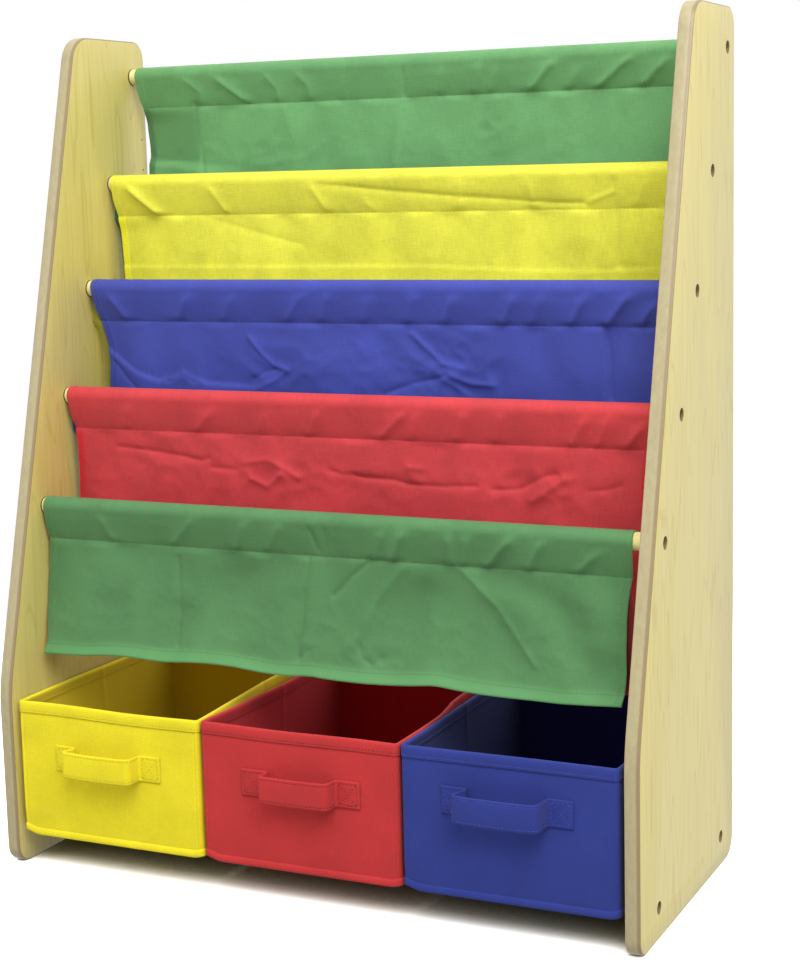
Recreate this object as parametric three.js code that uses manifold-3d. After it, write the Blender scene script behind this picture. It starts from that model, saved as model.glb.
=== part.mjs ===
// Sling bookshelf: two side panels, seven rods, four hanging cloth pockets, a front skirt and
// three pull-out fabric bins. Millimetres, +Z up, +X to the right, -Y to the front.
// The origin is the centre of the foot print, on the floor.
import * as THREE from 'three';
import { mergeVertices } from 'three/addons/utils/BufferGeometryUtils.js';
import Module from 'manifold-3d';

const wasm = await Module();
wasm.setup();

// Overall sizes
const overallWidth = 640;
const panelThickness = 14;
const panelHeight = 791;
const panelDepth = 283;
const panelTopDepth = 122;
const bendHeight = 173;
const seatGap = 0.3;
const overrun = 1;

// Side panel outline
const topFrontRadius = 28;
const topRearRadius = 17;
const bottomFrontRadius = 17;
const bottomRearRadius = 20;
const bendRadius = 150;
const panelEdgeRound = 1.8;

// Rods, placed from the panels' edges
const rodRadius = 8;
const rodSocketDepth = 4.5;
const topRodFromRear = 22;
const topRodFromTop = 36;
const slingRodCount = 5;
const lowestSlingRodFromSlant = 28;
const topRodExtraStep = 6;
const rearBottomRodFromRear = 42;
const frontBottomRodFromFront = 51;
const bottomRodHeight = 28.5;

// Screws
const recessClearance = 1.3;
const recessDepth = 5.5;
const screwHeadRadius = 4.7;
const screwHeadHeight = 2.8;
const screwHeadRound = 0.8;
const screwShankRadius = 2.5;
const screwPointLength = 4;
const screwGripLength = 26;
const hexSocketRadius = 2.3;
const hexSocketDepth = 1.8;

// Pilot holes near the left panel's rear edge
const pilotHoleRadius = 1;
const pilotHoleDepth = 8;
const pilotHoleFromRear = 9.5;
const upperPilotHoleFromTop = 99;
const pilotHoleSpacing = 31;

// Cloth of the slings and the skirt
const clothThickness = 1;
const clothSideGap = 6;
const clothDrawIn = 8;
const clothNarrowingLength = 60;
const stitchDrop = 32;
const pocketDepth = 141;
const skirtDrop = 146;
const clearOverBins = 32.2;
const skirtLean = 18;
const clothWaveHeight = 3.5;
const clothWaveLength = 235;
const clothWavePhaseStep = 2;
const seamAngle = Math.PI / 5;
const bellyShare = 0.9;
const sideFallShare = 0.75;

// Bins
const binCount = 3;
const binSideGap = 4.5;
const binSpacing = 1.5;
const binHeight = 126;
const binRearGap = 2;
const binFrontGap = 3;
const binInnerCornerRadius = 1.2;
const binSideBow = 5;
const binClothThickness = 0.8;
const binBoardThickness = 1.6;
const baseBoardThickness = 2.5;
const foldGap = 2;

// Bin handles
const handleWidth = 25;
const handleThickness = 1.6;
const handlePatchLength = 23;
const handleLoopLength = 73;
const handleReach = 25;
const handleBendRadius = 4;
const handleDropOnBin = 51;
const blueHandleDropOnBin = 44;

// Facet counts
const rodSides = 20;
const holeSides = 16;
const screwSides = 12;
const hexSides = 6;
const filletStepsPerTurn = 28;
const bevelSteps = 2;
const binCornerSteps = 3;
const handleBendSteps = 4;
const clothSlices = 10;
const rodWrapSteps = 9;
const pocketRearSteps = 9;
const pocketFrontSteps = 7;
const pocketTurnSteps = 3;
const skirtSteps = 7;

// Places worked out from the sizes
const innerFaceX = overallWidth / 2 - panelThickness;
const binDepth = panelDepth - binRearGap - binFrontGap;
const binWidth = (2 * (innerFaceX - binSideGap) - (binCount - 1) * binSpacing) / binCount;
const overallDepth = Math.max(panelDepth, binRearGap + binDepth + handleReach);
const rearY = overallDepth / 2;
const fromRear = (distance) => rearY - distance;
const clothHalfThickness = clothThickness / 2;
const wrapRadius = rodRadius + seatGap + clothHalfThickness;
const layerOffset = clothHalfThickness + seatGap / 2;
const clothHalfWidthOnRod = innerFaceX - clothSideGap;
const clothHalfWidthBelow = clothHalfWidthOnRod - clothDrawIn;
const binFloorZ = bottomRodHeight + rodRadius + seatGap;
const recessRadius = screwHeadRadius + recessClearance;
const rodHalfLength = innerFaceX + rodSocketDepth - seatGap;
const screwHeadX = overallWidth / 2 - recessDepth + seatGap;
const screwTipX = rodHalfLength - screwGripLength - screwPointLength;

// The sling rods stand in an even row behind the panels' slanting front edge, the lowest one high
// enough for the cloth that hangs from it to clear the bins
const topRodHeight = panelHeight - topRodFromTop;
const lowestRodHeight = binFloorZ + binHeight + clearOverBins + Math.max(skirtDrop, pocketDepth);
const slantShare = (panelHeight - lowestRodHeight) / (panelHeight - bendHeight);
const slantFromRear = panelTopDepth + (panelDepth - panelTopDepth) * slantShare;
const lowestRodFromRear = slantFromRear - lowestSlingRodFromSlant;
const rodStepForward = (lowestRodFromRear - topRodFromRear) / (slingRodCount - 1);
const rodStepDown = (topRodHeight - topRodExtraStep - lowestRodHeight) / (slingRodCount - 1);

const slingRods = [];
for (let i = 0; i < slingRodCount; i += 1) {
  const extraStep = i > 0 ? topRodExtraStep : 0;
  slingRods.push({
    y: fromRear(topRodFromRear + i * rodStepForward),
    z: topRodHeight - i * rodStepDown - extraStep,
  });
}
const frontBottomRodFromRear = panelDepth - frontBottomRodFromFront;
const bottomRods = [
  { name: 'bottom_rod_rear', y: fromRear(rearBottomRodFromRear), z: bottomRodHeight },
  { name: 'bottom_rod_front', y: fromRear(frontBottomRodFromRear), z: bottomRodHeight },
];
const allRods = [...slingRods.map((rod, i) => ({ name: `sling_rod_${i + 1}`, ...rod })), ...bottomRods];

// Materials
function finish(color, roughness, metalness = 0) {
  return new THREE.MeshStandardMaterial({ color, roughness, metalness });
}
const materials = {
  panel: finish(0xdccf9b, 0.45),
  dowel: finish(0xe6dea6, 0.6),
  screw: finish(0x8d8468, 0.4, 0.9),
  board: finish(0xb59a72, 0.9),
  greenCloth: finish(0x5a9960, 0.75),
  yellowCloth: finish(0xe5e34a, 0.75),
  blueCloth: finish(0x4c56ac, 0.75),
  redCloth: finish(0xc43f45, 0.75),
  yellowBin: finish(0xddd02a, 0.9),
  redBin: finish(0xb83839, 0.9),
  blueBin: finish(0x323e84, 0.9),
};

// Solids and geometry
function toSolid(geometry) {
  geometry.deleteAttribute('normal');
  geometry.deleteAttribute('uv');
  const merged = mergeVertices(geometry);
  const corners = merged.index.array;
  const kept = [];
  for (let i = 0; i < corners.length; i += 3) {
    const [a, b, c] = corners.slice(i, i + 3);
    if (a !== b && b !== c && c !== a) kept.push(a, b, c);
  }
  return new wasm.Manifold(new wasm.Mesh({
    numProp: 3,
    vertProperties: new Float32Array(merged.attributes.position.array),
    triVerts: new Uint32Array(kept),
  }));
}

function toGeometry(solid) {
  const mesh = solid.getMesh();
  const geometry = new THREE.BufferGeometry();
  geometry.setAttribute('position', new THREE.BufferAttribute(mesh.vertProperties, 3));
  geometry.setIndex(new THREE.BufferAttribute(mesh.triVerts, 1));
  geometry.computeVertexNormals();
  return geometry;
}

function signedVolume(points, triangles) {
  let volume = 0;
  for (const [a, b, c] of triangles) {
    volume += points[a].dot(new THREE.Vector3().crossVectors(points[b], points[c]));
  }
  return volume;
}

function closedGeometry(points, triangles) {
  const pointsOutward = signedVolume(points, triangles) > 0;
  const ordered = pointsOutward ? triangles : triangles.map(([a, b, c]) => [a, c, b]);
  const geometry = new THREE.BufferGeometry().setFromPoints(points);
  geometry.setIndex(ordered.flat());
  geometry.computeVertexNormals();
  return geometry;
}

function piece(name, geometry, material) {
  const mesh = new THREE.Mesh(geometry, material);
  mesh.name = name;
  return mesh;
}

// A round bar along X, from one x to another
function barAlongX(radius, fromX, toX, y, z, sides) {
  const bar = new THREE.CylinderGeometry(radius, radius, Math.abs(toX - fromX), sides);
  bar.rotateZ(Math.PI / 2);
  bar.translate((fromX + toX) / 2, y, z);
  return bar;
}

// Points on an arc in a plane, from one angle to another
function arcPoints(centre, radius, fromAngle, toAngle, steps) {
  const points = [];
  for (let step = 0; step <= steps; step += 1) {
    const angle = fromAngle + ((toAngle - fromAngle) * step) / steps;
    points.push(new THREE.Vector2(radius, 0).rotateAround(new THREE.Vector2(), angle).add(centre));
  }
  return points;
}

// Side panels
function filletedOutline(corners) {
  const outline = [];
  corners.forEach((corner, i) => {
    const before = corners.at(i - 1).at;
    const after = corners[(i + 1) % corners.length].at;
    const toBefore = before.clone().sub(corner.at).normalize();
    const toAfter = after.clone().sub(corner.at).normalize();
    const halfAngle = Math.acos(toBefore.dot(toAfter)) / 2;
    const bisector = toBefore.clone().add(toAfter).normalize();
    const centre = corner.at.clone().addScaledVector(bisector, corner.radius / Math.sin(halfAngle));
    const tangent = corner.radius / Math.tan(halfAngle);
    const start = corner.at.clone().addScaledVector(toBefore, tangent).sub(centre);
    const turn = Math.PI - 2 * halfAngle;
    const turnsLeft = toBefore.cross(toAfter) < 0;
    const steps = Math.max(3, Math.round((filletStepsPerTurn * turn) / (2 * Math.PI)));
    for (let step = 0; step <= steps; step += 1) {
      const angle = (turnsLeft ? 1 : -1) * (turn * step) / steps;
      outline.push(start.clone().rotateAround(new THREE.Vector2(), angle).add(centre));
    }
  });
  return outline;
}

function panelOutline() {
  const rear = fromRear(0);
  const front = fromRear(panelDepth);
  const topFront = fromRear(panelTopDepth);
  return filletedOutline([
    { at: new THREE.Vector2(rear, 0), radius: bottomRearRadius },
    { at: new THREE.Vector2(rear, panelHeight), radius: topRearRadius },
    { at: new THREE.Vector2(topFront, panelHeight), radius: topFrontRadius },
    { at: new THREE.Vector2(front, bendHeight), radius: bendRadius },
    { at: new THREE.Vector2(front, 0), radius: bottomFrontRadius },
  ]);
}

function panelBlank(side) {
  const blank = new THREE.ExtrudeGeometry(new THREE.Shape(panelOutline()), {
    depth: panelThickness - 2 * panelEdgeRound,
    bevelThickness: panelEdgeRound,
    bevelSize: panelEdgeRound,
    bevelOffset: -panelEdgeRound,
    bevelSegments: bevelSteps,
  });
  const upright = new THREE.Matrix4().makeBasis(
    new THREE.Vector3(0, 1, 0),
    new THREE.Vector3(0, 0, 1),
    new THREE.Vector3(1, 0, 0),
  );
  blank.applyMatrix4(upright);
  const lowX = side > 0 ? innerFaceX : -overallWidth / 2;
  blank.translate(lowX + panelEdgeRound, 0, 0);
  return blank;
}

function rodHoles(side, rod) {
  const innerX = side * innerFaceX;
  const outerX = (side * overallWidth) / 2;
  const socketEndX = innerX + side * rodSocketDepth;
  const recessEndX = outerX - side * recessDepth;
  const inwardX = innerX - side * overrun;
  const outwardX = outerX + side * overrun;
  const throughRadius = screwShankRadius + seatGap;
  return [
    barAlongX(rodRadius + seatGap, inwardX, socketEndX, rod.y, rod.z, rodSides),
    barAlongX(throughRadius, inwardX, outwardX, rod.y, rod.z, screwSides),
    barAlongX(recessRadius, recessEndX, outwardX, rod.y, rod.z, holeSides),
  ];
}

function pilotHoles(side) {
  const holes = [];
  for (const drop of [0, pilotHoleSpacing]) {
    const startX = side * (innerFaceX - overrun);
    const endX = side * (innerFaceX + pilotHoleDepth);
    const height = panelHeight - upperPilotHoleFromTop - drop;
    holes.push(barAlongX(pilotHoleRadius, startX, endX, fromRear(pilotHoleFromRear), height, screwSides));
  }
  return holes;
}

function sidePanel(name, side) {
  let solid = toSolid(panelBlank(side));
  const cuts = allRods.flatMap((rod) => rodHoles(side, rod));
  if (side < 0) cuts.push(...pilotHoles(side));
  for (const cut of cuts) solid = solid.subtract(toSolid(cut));
  return piece(name, toGeometry(solid), materials.panel);
}

// Rods, with a blind screw hole in each end
function rod({ name, y, z }) {
  const holeRadius = screwShankRadius + seatGap;
  const holeEndX = screwTipX - seatGap;
  const profile = [
    new THREE.Vector2(0, -holeEndX),
    new THREE.Vector2(holeRadius, -holeEndX),
    new THREE.Vector2(holeRadius, -rodHalfLength),
    new THREE.Vector2(rodRadius, -rodHalfLength),
    new THREE.Vector2(rodRadius, rodHalfLength),
    new THREE.Vector2(holeRadius, rodHalfLength),
    new THREE.Vector2(holeRadius, holeEndX),
    new THREE.Vector2(0, holeEndX),
  ];
  const mesh = piece(name, toGeometry(toSolid(new THREE.LatheGeometry(profile, rodSides))), materials.dowel);
  mesh.rotation.z = -Math.PI / 2;
  mesh.position.set(0, y, z);
  return mesh;
}

// Screws: a round head with a hex socket, a plain shank and a point
function screwGeometry() {
  const shankLength = screwHeadX - screwTipX - screwPointLength;
  const headRim = screwHeadRadius - screwHeadRound;
  const profile = [
    new THREE.Vector2(0, -shankLength - screwPointLength),
    new THREE.Vector2(screwShankRadius, -shankLength),
    new THREE.Vector2(screwShankRadius, 0),
    new THREE.Vector2(screwHeadRadius, 0),
    new THREE.Vector2(screwHeadRadius, screwHeadHeight - screwHeadRound),
    new THREE.Vector2(headRim, screwHeadHeight),
    new THREE.Vector2(0, screwHeadHeight),
  ];
  const socketLength = hexSocketDepth + overrun;
  const socket = new THREE.CylinderGeometry(hexSocketRadius, hexSocketRadius, socketLength, hexSides);
  socket.translate(0, screwHeadHeight - hexSocketDepth + socketLength / 2, 0);
  const body = toSolid(new THREE.LatheGeometry(profile, screwSides));
  return toGeometry(body.subtract(toSolid(socket)));
}

function screw(sideName, side, seat) {
  const mesh = piece(`${sideName}_screw_${seat.name}`, screwGeometry(), materials.screw);
  mesh.rotation.z = (-side * Math.PI) / 2;
  mesh.position.set(side * screwHeadX, seat.y, seat.z);
  return mesh;
}

// Cloth, as paths of (y, z) points in one slice and a loft of those slices along X
const stitchDistance = Math.hypot(stitchDrop, layerOffset);
const stitchAngle = Math.atan2(stitchDrop, layerOffset);
const tangentAngle = Math.acos(wrapRadius / stitchDistance);
const rearWrapAngle = tangentAngle - stitchAngle;
const frontWrapAngle = Math.PI - rearWrapAngle;
const seamHalfGapAngle = seatGap / 2 / wrapRadius;

const frontStitch = (centre) => new THREE.Vector2(centre.y - layerOffset, centre.z - stitchDrop);
const rearStitch = (centre) => new THREE.Vector2(centre.y + layerOffset, centre.z - stitchDrop);

function wrapOverRod(centre, fromAngle, toAngle) {
  const turnShare = Math.abs(toAngle - fromAngle) / (frontWrapAngle - rearWrapAngle);
  const steps = Math.max(2, Math.round(rodWrapSteps * turnShare));
  return arcPoints(new THREE.Vector2(centre.y, centre.z), wrapRadius, fromAngle, toAngle, steps);
}

// The sleeve layer of one colour: over the rod from the rear and down the front to the stitches
function sleeveStart(index) {
  const centre = slingRods[index];
  if (index > 0) {
    return [...wrapOverRod(centre, seamAngle + seamHalfGapAngle, frontWrapAngle), frontStitch(centre)];
  }
  return [rearStitch(centre), ...wrapOverRod(centre, rearWrapAngle, frontWrapAngle), frontStitch(centre)];
}

// A pocket hangs from the stitches under one rod to the stitches under the next
function pocketFall(index) {
  const top = frontStitch(slingRods[index]);
  const end = rearStitch(slingRods[index + 1]);
  const bottom = new THREE.Vector2((top.x + end.x) / 2, slingRods[index + 1].z - pocketDepth);
  const belly = (bellyShare * (top.x - end.x)) / 2;
  const rearSide = new THREE.CubicBezierCurve(
    top,
    new THREE.Vector2(top.x, top.y - sideFallShare * (top.y - bottom.y)),
    new THREE.Vector2(bottom.x + belly, bottom.y),
    bottom,
  );
  const frontSide = new THREE.CubicBezierCurve(
    bottom,
    new THREE.Vector2(bottom.x - belly, bottom.y),
    new THREE.Vector2(end.x, end.y - sideFallShare * (end.y - bottom.y)),
    end,
  );
  return [...rearSide.getPoints(pocketRearSteps).slice(1), ...frontSide.getPoints(pocketFrontSteps).slice(1)];
}

function slingPath(index) {
  const nextRod = slingRods[index + 1];
  const rearSeam = wrapOverRod(nextRod, rearWrapAngle, seamAngle - seamHalfGapAngle);
  return [...sleeveStart(index), ...pocketFall(index), ...rearSeam];
}

function skirtPath() {
  const last = slingRods.length - 1;
  const top = frontStitch(slingRods[last]);
  const hem = new THREE.Vector2(top.x - skirtLean, slingRods[last].z - skirtDrop);
  const fall = new THREE.QuadraticBezierCurve(top, new THREE.Vector2(top.x, (top.y + hem.y) / 2), hem);
  return [...sleeveStart(last), ...fall.getPoints(skirtSteps).slice(1)];
}

// Cloth narrows below each rod, and its fall waves a little from side to side
function fallBelow(index, z) {
  return Math.max(0, slingRods[index].z - stitchDrop - z);
}

function halfWidthAt(index, z) {
  const share = Math.min(1, Math.max(0, slingRods[index].z - z) / clothNarrowingLength);
  return clothHalfWidthOnRod - (clothHalfWidthOnRod - clothHalfWidthBelow) * share;
}

function waveAt(index, x, z) {
  const grown = Math.min(1, fallBelow(index, z) / pocketDepth);
  const turn = (2 * Math.PI * x) / clothWaveLength + index * clothWavePhaseStep;
  return clothWaveHeight * grown * grown * Math.sin(turn);
}

function pathNormals(path) {
  return path.map((point, i) => {
    const before = path[Math.max(0, i - 1)];
    const after = path[Math.min(path.length - 1, i + 1)];
    const along = after.clone().sub(before).normalize();
    return new THREE.Vector2(-along.y, along.x);
  });
}

// turnShareAt says how far each point of a path has passed from one rod's plane to the next one's
function clothSolid(path, index, turnShareAt) {
  const next = Math.min(index + 1, slingRods.length - 1);
  const normals = pathNormals(path);
  const points = [];
  for (let slice = 0; slice <= clothSlices; slice += 1) {
    const across = (2 * slice) / clothSlices - 1;
    for (const face of [-1, 1]) {
      path.forEach((point, j) => {
        const spot = point.clone().addScaledVector(normals[j], face * clothHalfThickness);
        const share = turnShareAt(j);
        const { lerp } = THREE.MathUtils;
        const x = across * lerp(halfWidthAt(index, spot.y), halfWidthAt(next, spot.y), share);
        const wave = lerp(waveAt(index, x, spot.y), waveAt(next, x, spot.y), share);
        points.push(new THREE.Vector3(x, spot.x + wave, spot.y));
      });
    }
  }
  return closedGeometry(points, sheetTriangles(clothSlices, path.length));
}

function sheetTriangles(slices, count) {
  const at = (slice, face, j) => (slice * 2 + face) * count + j;
  const triangles = [];
  const quad = (a, b, c, d) => triangles.push([a, b, c], [a, c, d]);
  for (let slice = 0; slice < slices; slice += 1) {
    for (let j = 0; j < count - 1; j += 1) {
      quad(at(slice, 0, j), at(slice, 0, j + 1), at(slice + 1, 0, j + 1), at(slice + 1, 0, j));
      quad(at(slice, 1, j), at(slice + 1, 1, j), at(slice + 1, 1, j + 1), at(slice, 1, j + 1));
    }
    quad(at(slice, 0, 0), at(slice + 1, 0, 0), at(slice + 1, 1, 0), at(slice, 1, 0));
    const end = count - 1;
    quad(at(slice, 0, end), at(slice, 1, end), at(slice + 1, 1, end), at(slice + 1, 0, end));
  }
  for (let j = 0; j < count - 1; j += 1) {
    quad(at(0, 0, j), at(0, 1, j), at(0, 1, j + 1), at(0, 0, j + 1));
    quad(at(slices, 0, j), at(slices, 0, j + 1), at(slices, 1, j + 1), at(slices, 1, j));
  }
  return triangles;
}

function sling(name, index, material) {
  const bottomAt = sleeveStart(index).length - 1 + pocketRearSteps;
  const turnShareAt = (j) => THREE.MathUtils.smoothstep(
    j,
    bottomAt - pocketTurnSteps,
    bottomAt + pocketTurnSteps,
  );
  return piece(name, clothSolid(slingPath(index), index, turnShareAt), material);
}

function skirt(name, material) {
  return piece(name, clothSolid(skirtPath(), slingRods.length - 1, () => 0), material);
}

// Bins: one cloth cover folded over the wall boards, the boards, and a sewn handle
const binWall = 2 * binClothThickness + binBoardThickness + 2 * seatGap;
const binCornerRadius = binInnerCornerRadius + binWall;
const boardOutset = binClothThickness + seatGap;
const boardInset = boardOutset + binBoardThickness;
const binMidY = fromRear(binRearGap + binDepth / 2);

// The bin's plan, drawn in by an inset, with the fold in the middle of each side wall
function binPlan(inset) {
  const halfX = binWidth / 2 - inset;
  const halfY = binDepth / 2 - inset;
  const radius = binCornerRadius - inset;
  const foldX = halfX - binSideBow;
  const quarter = (signX, signY, fromAngle) => {
    const centre = new THREE.Vector2(signX * (halfX - radius), signY * (halfY - radius));
    return arcPoints(centre, radius, fromAngle, fromAngle + Math.PI / 2, binCornerSteps);
  };
  return [
    ...quarter(1, -1, -Math.PI / 2),
    new THREE.Vector2(foldX, 0),
    ...quarter(1, 1, 0),
    ...quarter(-1, 1, Math.PI / 2),
    new THREE.Vector2(-foldX, 0),
    ...quarter(-1, -1, Math.PI),
  ];
}

function ringLoft(rings) {
  const count = rings[0].plan.length;
  const points = rings.flatMap(({ plan, z }) => plan.map((p) => new THREE.Vector3(p.x, p.y, z)));
  const triangles = [];
  for (let ring = 0; ring < rings.length - 1; ring += 1) {
    for (let j = 0; j < count; j += 1) {
      const a = ring * count + j;
      const b = ring * count + ((j + 1) % count);
      triangles.push([a, b, b + count], [a, b + count, a + count]);
    }
  }
  const lastStart = (rings.length - 1) * count;
  const firstCap = THREE.ShapeUtils.triangulateShape(rings[0].plan, []);
  const lastCap = THREE.ShapeUtils.triangulateShape(rings.at(-1).plan, []);
  triangles.push(...firstCap.map(([a, b, c]) => [a, c, b]));
  triangles.push(...lastCap.map(([a, b, c]) => [a + lastStart, b + lastStart, c + lastStart]));
  return closedGeometry(points, triangles);
}

function binCover(colour, material) {
  const floorTop = binClothThickness;
  const foldUnder = binHeight - binClothThickness;
  const outer = binPlan(0);
  const outerBack = binPlan(binClothThickness);
  const liningBack = binPlan(binWall - binClothThickness);
  const inner = binPlan(binWall);
  return piece(`${colour}_bin_cover`, ringLoft([
    { plan: outer, z: 0 },
    { plan: outer, z: binHeight },
    { plan: inner, z: binHeight },
    { plan: inner, z: floorTop + seatGap },
    { plan: liningBack, z: floorTop + seatGap },
    { plan: liningBack, z: foldUnder },
    { plan: outerBack, z: foldUnder },
    { plan: outerBack, z: floorTop },
  ]), material);
}

function uprightBoard(name, corners) {
  const plan = corners.map(([x, y]) => new THREE.Vector2(x, y));
  if (THREE.ShapeUtils.isClockWise(plan)) plan.reverse();
  const bottom = binClothThickness + seatGap;
  const top = binHeight - binClothThickness - seatGap;
  return piece(name, ringLoft([{ plan, z: bottom }, { plan, z: top }]), materials.board);
}

function binEndBoard(colour, label, signY) {
  const halfX = binWidth / 2 - binCornerRadius;
  const nearY = signY * (binDepth / 2 - boardInset);
  const farY = signY * (binDepth / 2 - boardOutset);
  const corners = [[-halfX, nearY], [halfX, nearY], [halfX, farY], [-halfX, farY]];
  return uprightBoard(`${colour}_bin_${label}_board`, corners);
}

// Half of a side wall, from a corner of the bin to the fold
function binSideBoard(colour, label, signX, signY) {
  const cornerY = binDepth / 2 - binCornerRadius;
  const foldY = foldGap / 2;
  const foldBow = binSideBow * (1 - foldY / cornerY);
  const xAt = (inset, bow) => signX * (binWidth / 2 - inset - bow);
  const corners = [
    [xAt(boardOutset, 0), signY * cornerY],
    [xAt(boardOutset, foldBow), signY * foldY],
    [xAt(boardInset, foldBow), signY * foldY],
    [xAt(boardInset, 0), signY * cornerY],
  ];
  return uprightBoard(`${colour}_bin_${label}_board`, corners);
}

function binBaseBoard(colour) {
  const width = binWidth - 2 * (binWall + binSideBow + seatGap);
  const depth = binDepth - 2 * (binWall + seatGap);
  const board = new THREE.BoxGeometry(width, depth, baseBoardThickness);
  board.translate(0, 0, binClothThickness + seatGap + baseBoardThickness / 2);
  return piece(`${colour}_bin_base_board`, board, materials.board);
}

// The strap's middle line seen from above: patch, bend, loop side, bend, half the loop's front
function strapHalfLine() {
  const patchY = -seatGap - handleThickness / 2;
  const frontY = -handleReach + handleThickness / 2;
  const loopX = handleLoopLength / 2;
  const radius = handleBendRadius;
  const patchBend = new THREE.Vector2(loopX + radius, patchY - radius);
  const frontBend = new THREE.Vector2(loopX - radius, frontY + radius);
  return [
    new THREE.Vector2(loopX + handlePatchLength, patchY),
    ...arcPoints(patchBend, radius, Math.PI / 2, Math.PI, handleBendSteps),
    ...arcPoints(frontBend, radius, 0, -Math.PI / 2, handleBendSteps),
  ];
}

function binHandle(colour, drop, material) {
  const half = strapHalfLine();
  const mirrored = half.map((point) => new THREE.Vector2(-point.x, point.y)).reverse();
  const line = [...half, ...mirrored];
  const normals = pathNormals(line);
  const side = (sign) => line.map((point, i) => (
    point.clone().addScaledVector(normals[i], (sign * handleThickness) / 2)
  ));
  const shape = new THREE.Shape([...side(1), ...side(-1).reverse()]);
  const strap = new THREE.ExtrudeGeometry(shape, { depth: handleWidth, bevelEnabled: false });
  const mesh = piece(`${colour}_bin_handle`, strap, material);
  mesh.position.set(0, -binDepth / 2, binHeight - drop - handleWidth / 2);
  return mesh;
}

function bin(colour, place, handleDrop, material) {
  const group = new THREE.Group();
  group.add(binCover(colour, material));
  group.add(binEndBoard(colour, 'front', -1), binEndBoard(colour, 'rear', 1));
  group.add(binSideBoard(colour, 'left_front', -1, -1), binSideBoard(colour, 'left_rear', -1, 1));
  group.add(binSideBoard(colour, 'right_front', 1, -1), binSideBoard(colour, 'right_rear', 1, 1));
  group.add(binBaseBoard(colour));
  group.add(binHandle(colour, handleDrop, material));
  group.position.set((place - (binCount - 1) / 2) * (binWidth + binSpacing), binMidY, binFloorZ);
  return group;
}

// The whole bookshelf
const shelf = new THREE.Group();
shelf.add(sidePanel('left_side_panel', -1), sidePanel('right_side_panel', 1));
for (const seat of allRods) {
  shelf.add(rod(seat), screw('left', -1, seat), screw('right', 1, seat));
}
shelf.add(sling('sling_green', 0, materials.greenCloth));
shelf.add(sling('sling_yellow', 1, materials.yellowCloth));
shelf.add(sling('sling_blue', 2, materials.blueCloth));
shelf.add(sling('sling_red', 3, materials.redCloth));
shelf.add(skirt('front_skirt', materials.greenCloth));
shelf.add(bin('yellow', 0, handleDropOnBin, materials.yellowBin));
shelf.add(bin('red', 1, handleDropOnBin, materials.redBin));
shelf.add(bin('blue', 2, blueHandleDropOnBin, materials.blueBin));

export default shelf;
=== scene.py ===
# How the sling bookshelf looks: grained board, dowels, hanging cloth with its folds and stitches,
# sewn fabric bins and a white studio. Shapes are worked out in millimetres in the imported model's
# frame, and add_mesh turns them into metres.
import math

import bpy
import numpy as np
from mathutils import Matrix, Vector


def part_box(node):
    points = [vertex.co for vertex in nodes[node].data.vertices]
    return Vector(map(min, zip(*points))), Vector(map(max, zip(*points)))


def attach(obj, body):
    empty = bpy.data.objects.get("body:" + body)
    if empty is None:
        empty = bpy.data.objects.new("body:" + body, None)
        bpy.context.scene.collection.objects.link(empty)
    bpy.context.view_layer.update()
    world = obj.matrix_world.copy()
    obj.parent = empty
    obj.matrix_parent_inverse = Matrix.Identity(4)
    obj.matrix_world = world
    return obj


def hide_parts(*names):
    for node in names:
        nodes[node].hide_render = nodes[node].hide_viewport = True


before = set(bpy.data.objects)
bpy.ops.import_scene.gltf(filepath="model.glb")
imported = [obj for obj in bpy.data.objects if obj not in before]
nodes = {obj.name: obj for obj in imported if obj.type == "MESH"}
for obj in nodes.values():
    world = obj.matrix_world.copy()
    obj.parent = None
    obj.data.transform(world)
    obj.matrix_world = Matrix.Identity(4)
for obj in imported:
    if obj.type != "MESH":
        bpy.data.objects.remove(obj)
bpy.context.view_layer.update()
MM = 0.001

# Camera, in metres and degrees, with its lens in millimetres, fitted to the photograph's perspective
CAMERA_PLACE = (0.7963, -1.5782, 0.6543)
CAMERA_YAW = 25.345
CAMERA_PITCH = 8.964
CAMERA_ROLL = -1.451
CAMERA_LENS = 71.96
CAMERA_SENSOR = 36.0
CAMERA_SHIFT = (-0.0002, -0.0079)

# Colours, as red, green and blue from 0 to 255
PANEL_PALE = (205, 193, 123)
PANEL_STREAK = (173, 151, 76)
PANEL_EDGE = (167, 157, 120)
PANEL_EDGE_DARK = (132, 112, 78)
PANEL_ARRIS = (176, 134, 104)
DOWEL_PALE = (224, 214, 150)
DOWEL_STREAK = (190, 170, 104)
# Millimetres before the panel where a dowel's painted contact shadow starts and where it is darkest
DOWEL_PAINTED_SHADOW = (1.6, 0.7)
SCREW_BRONZE = (112, 98, 70)
BOARD_BROWN = (181, 154, 114)
# A factor on each part of the panels' colour, inside the rack: painted shade and painted yellow light bounced
# from the cloth
PANEL_INSIDE_PAINTED_BOUNCE = (0.92, 0.9, 0.78, 1)
# Each cloth's colour, its hems' colour, the share of light that it lets through and its thread's tone. The
# green and blue slings' darker hems are painted shade where the doubled cloth lets less light through.
CLOTHS = {
    "green": ((122, 182, 121), (92, 138, 92), 0.34, 0.92),
    "yellow": ((250, 248, 88), (252, 247, 62), 0.3, 0.92),
    "blue": ((84, 96, 196), (74, 84, 176), 0.4, 0.7),
    "red": ((232, 82, 88), (222, 56, 64), 0.4, 0.95),
    "skirt": ((103, 156, 103), (104, 163, 105), 0.34, 1.02),
}
# Each bin's colour, the tint of the painted shade on its lining inside, and its thread's tone
BINS = {
    "yellow": ((234, 219, 38), (0.78, 0.74, 0.5), 0.84),
    "red": ((190, 52, 54), (0.8, 0.5, 0.65), 0.55),
    "blue": ((46, 59, 137), (0.58, 0.62, 0.66), 1.35),
}
STRAP_TONE = 0.98
# The darker tone in each material, as a share of its colour
SCREW_TONE = 0.62
BOARD_TONE = 0.8
CLOTH_TONE = 0.78
FELT_TONE = 0.8
THREAD_TONE = 0.75
# The darkest tone of the dowels' painted contact shadow
DOWEL_SHADOW_TONE = 0.3

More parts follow.
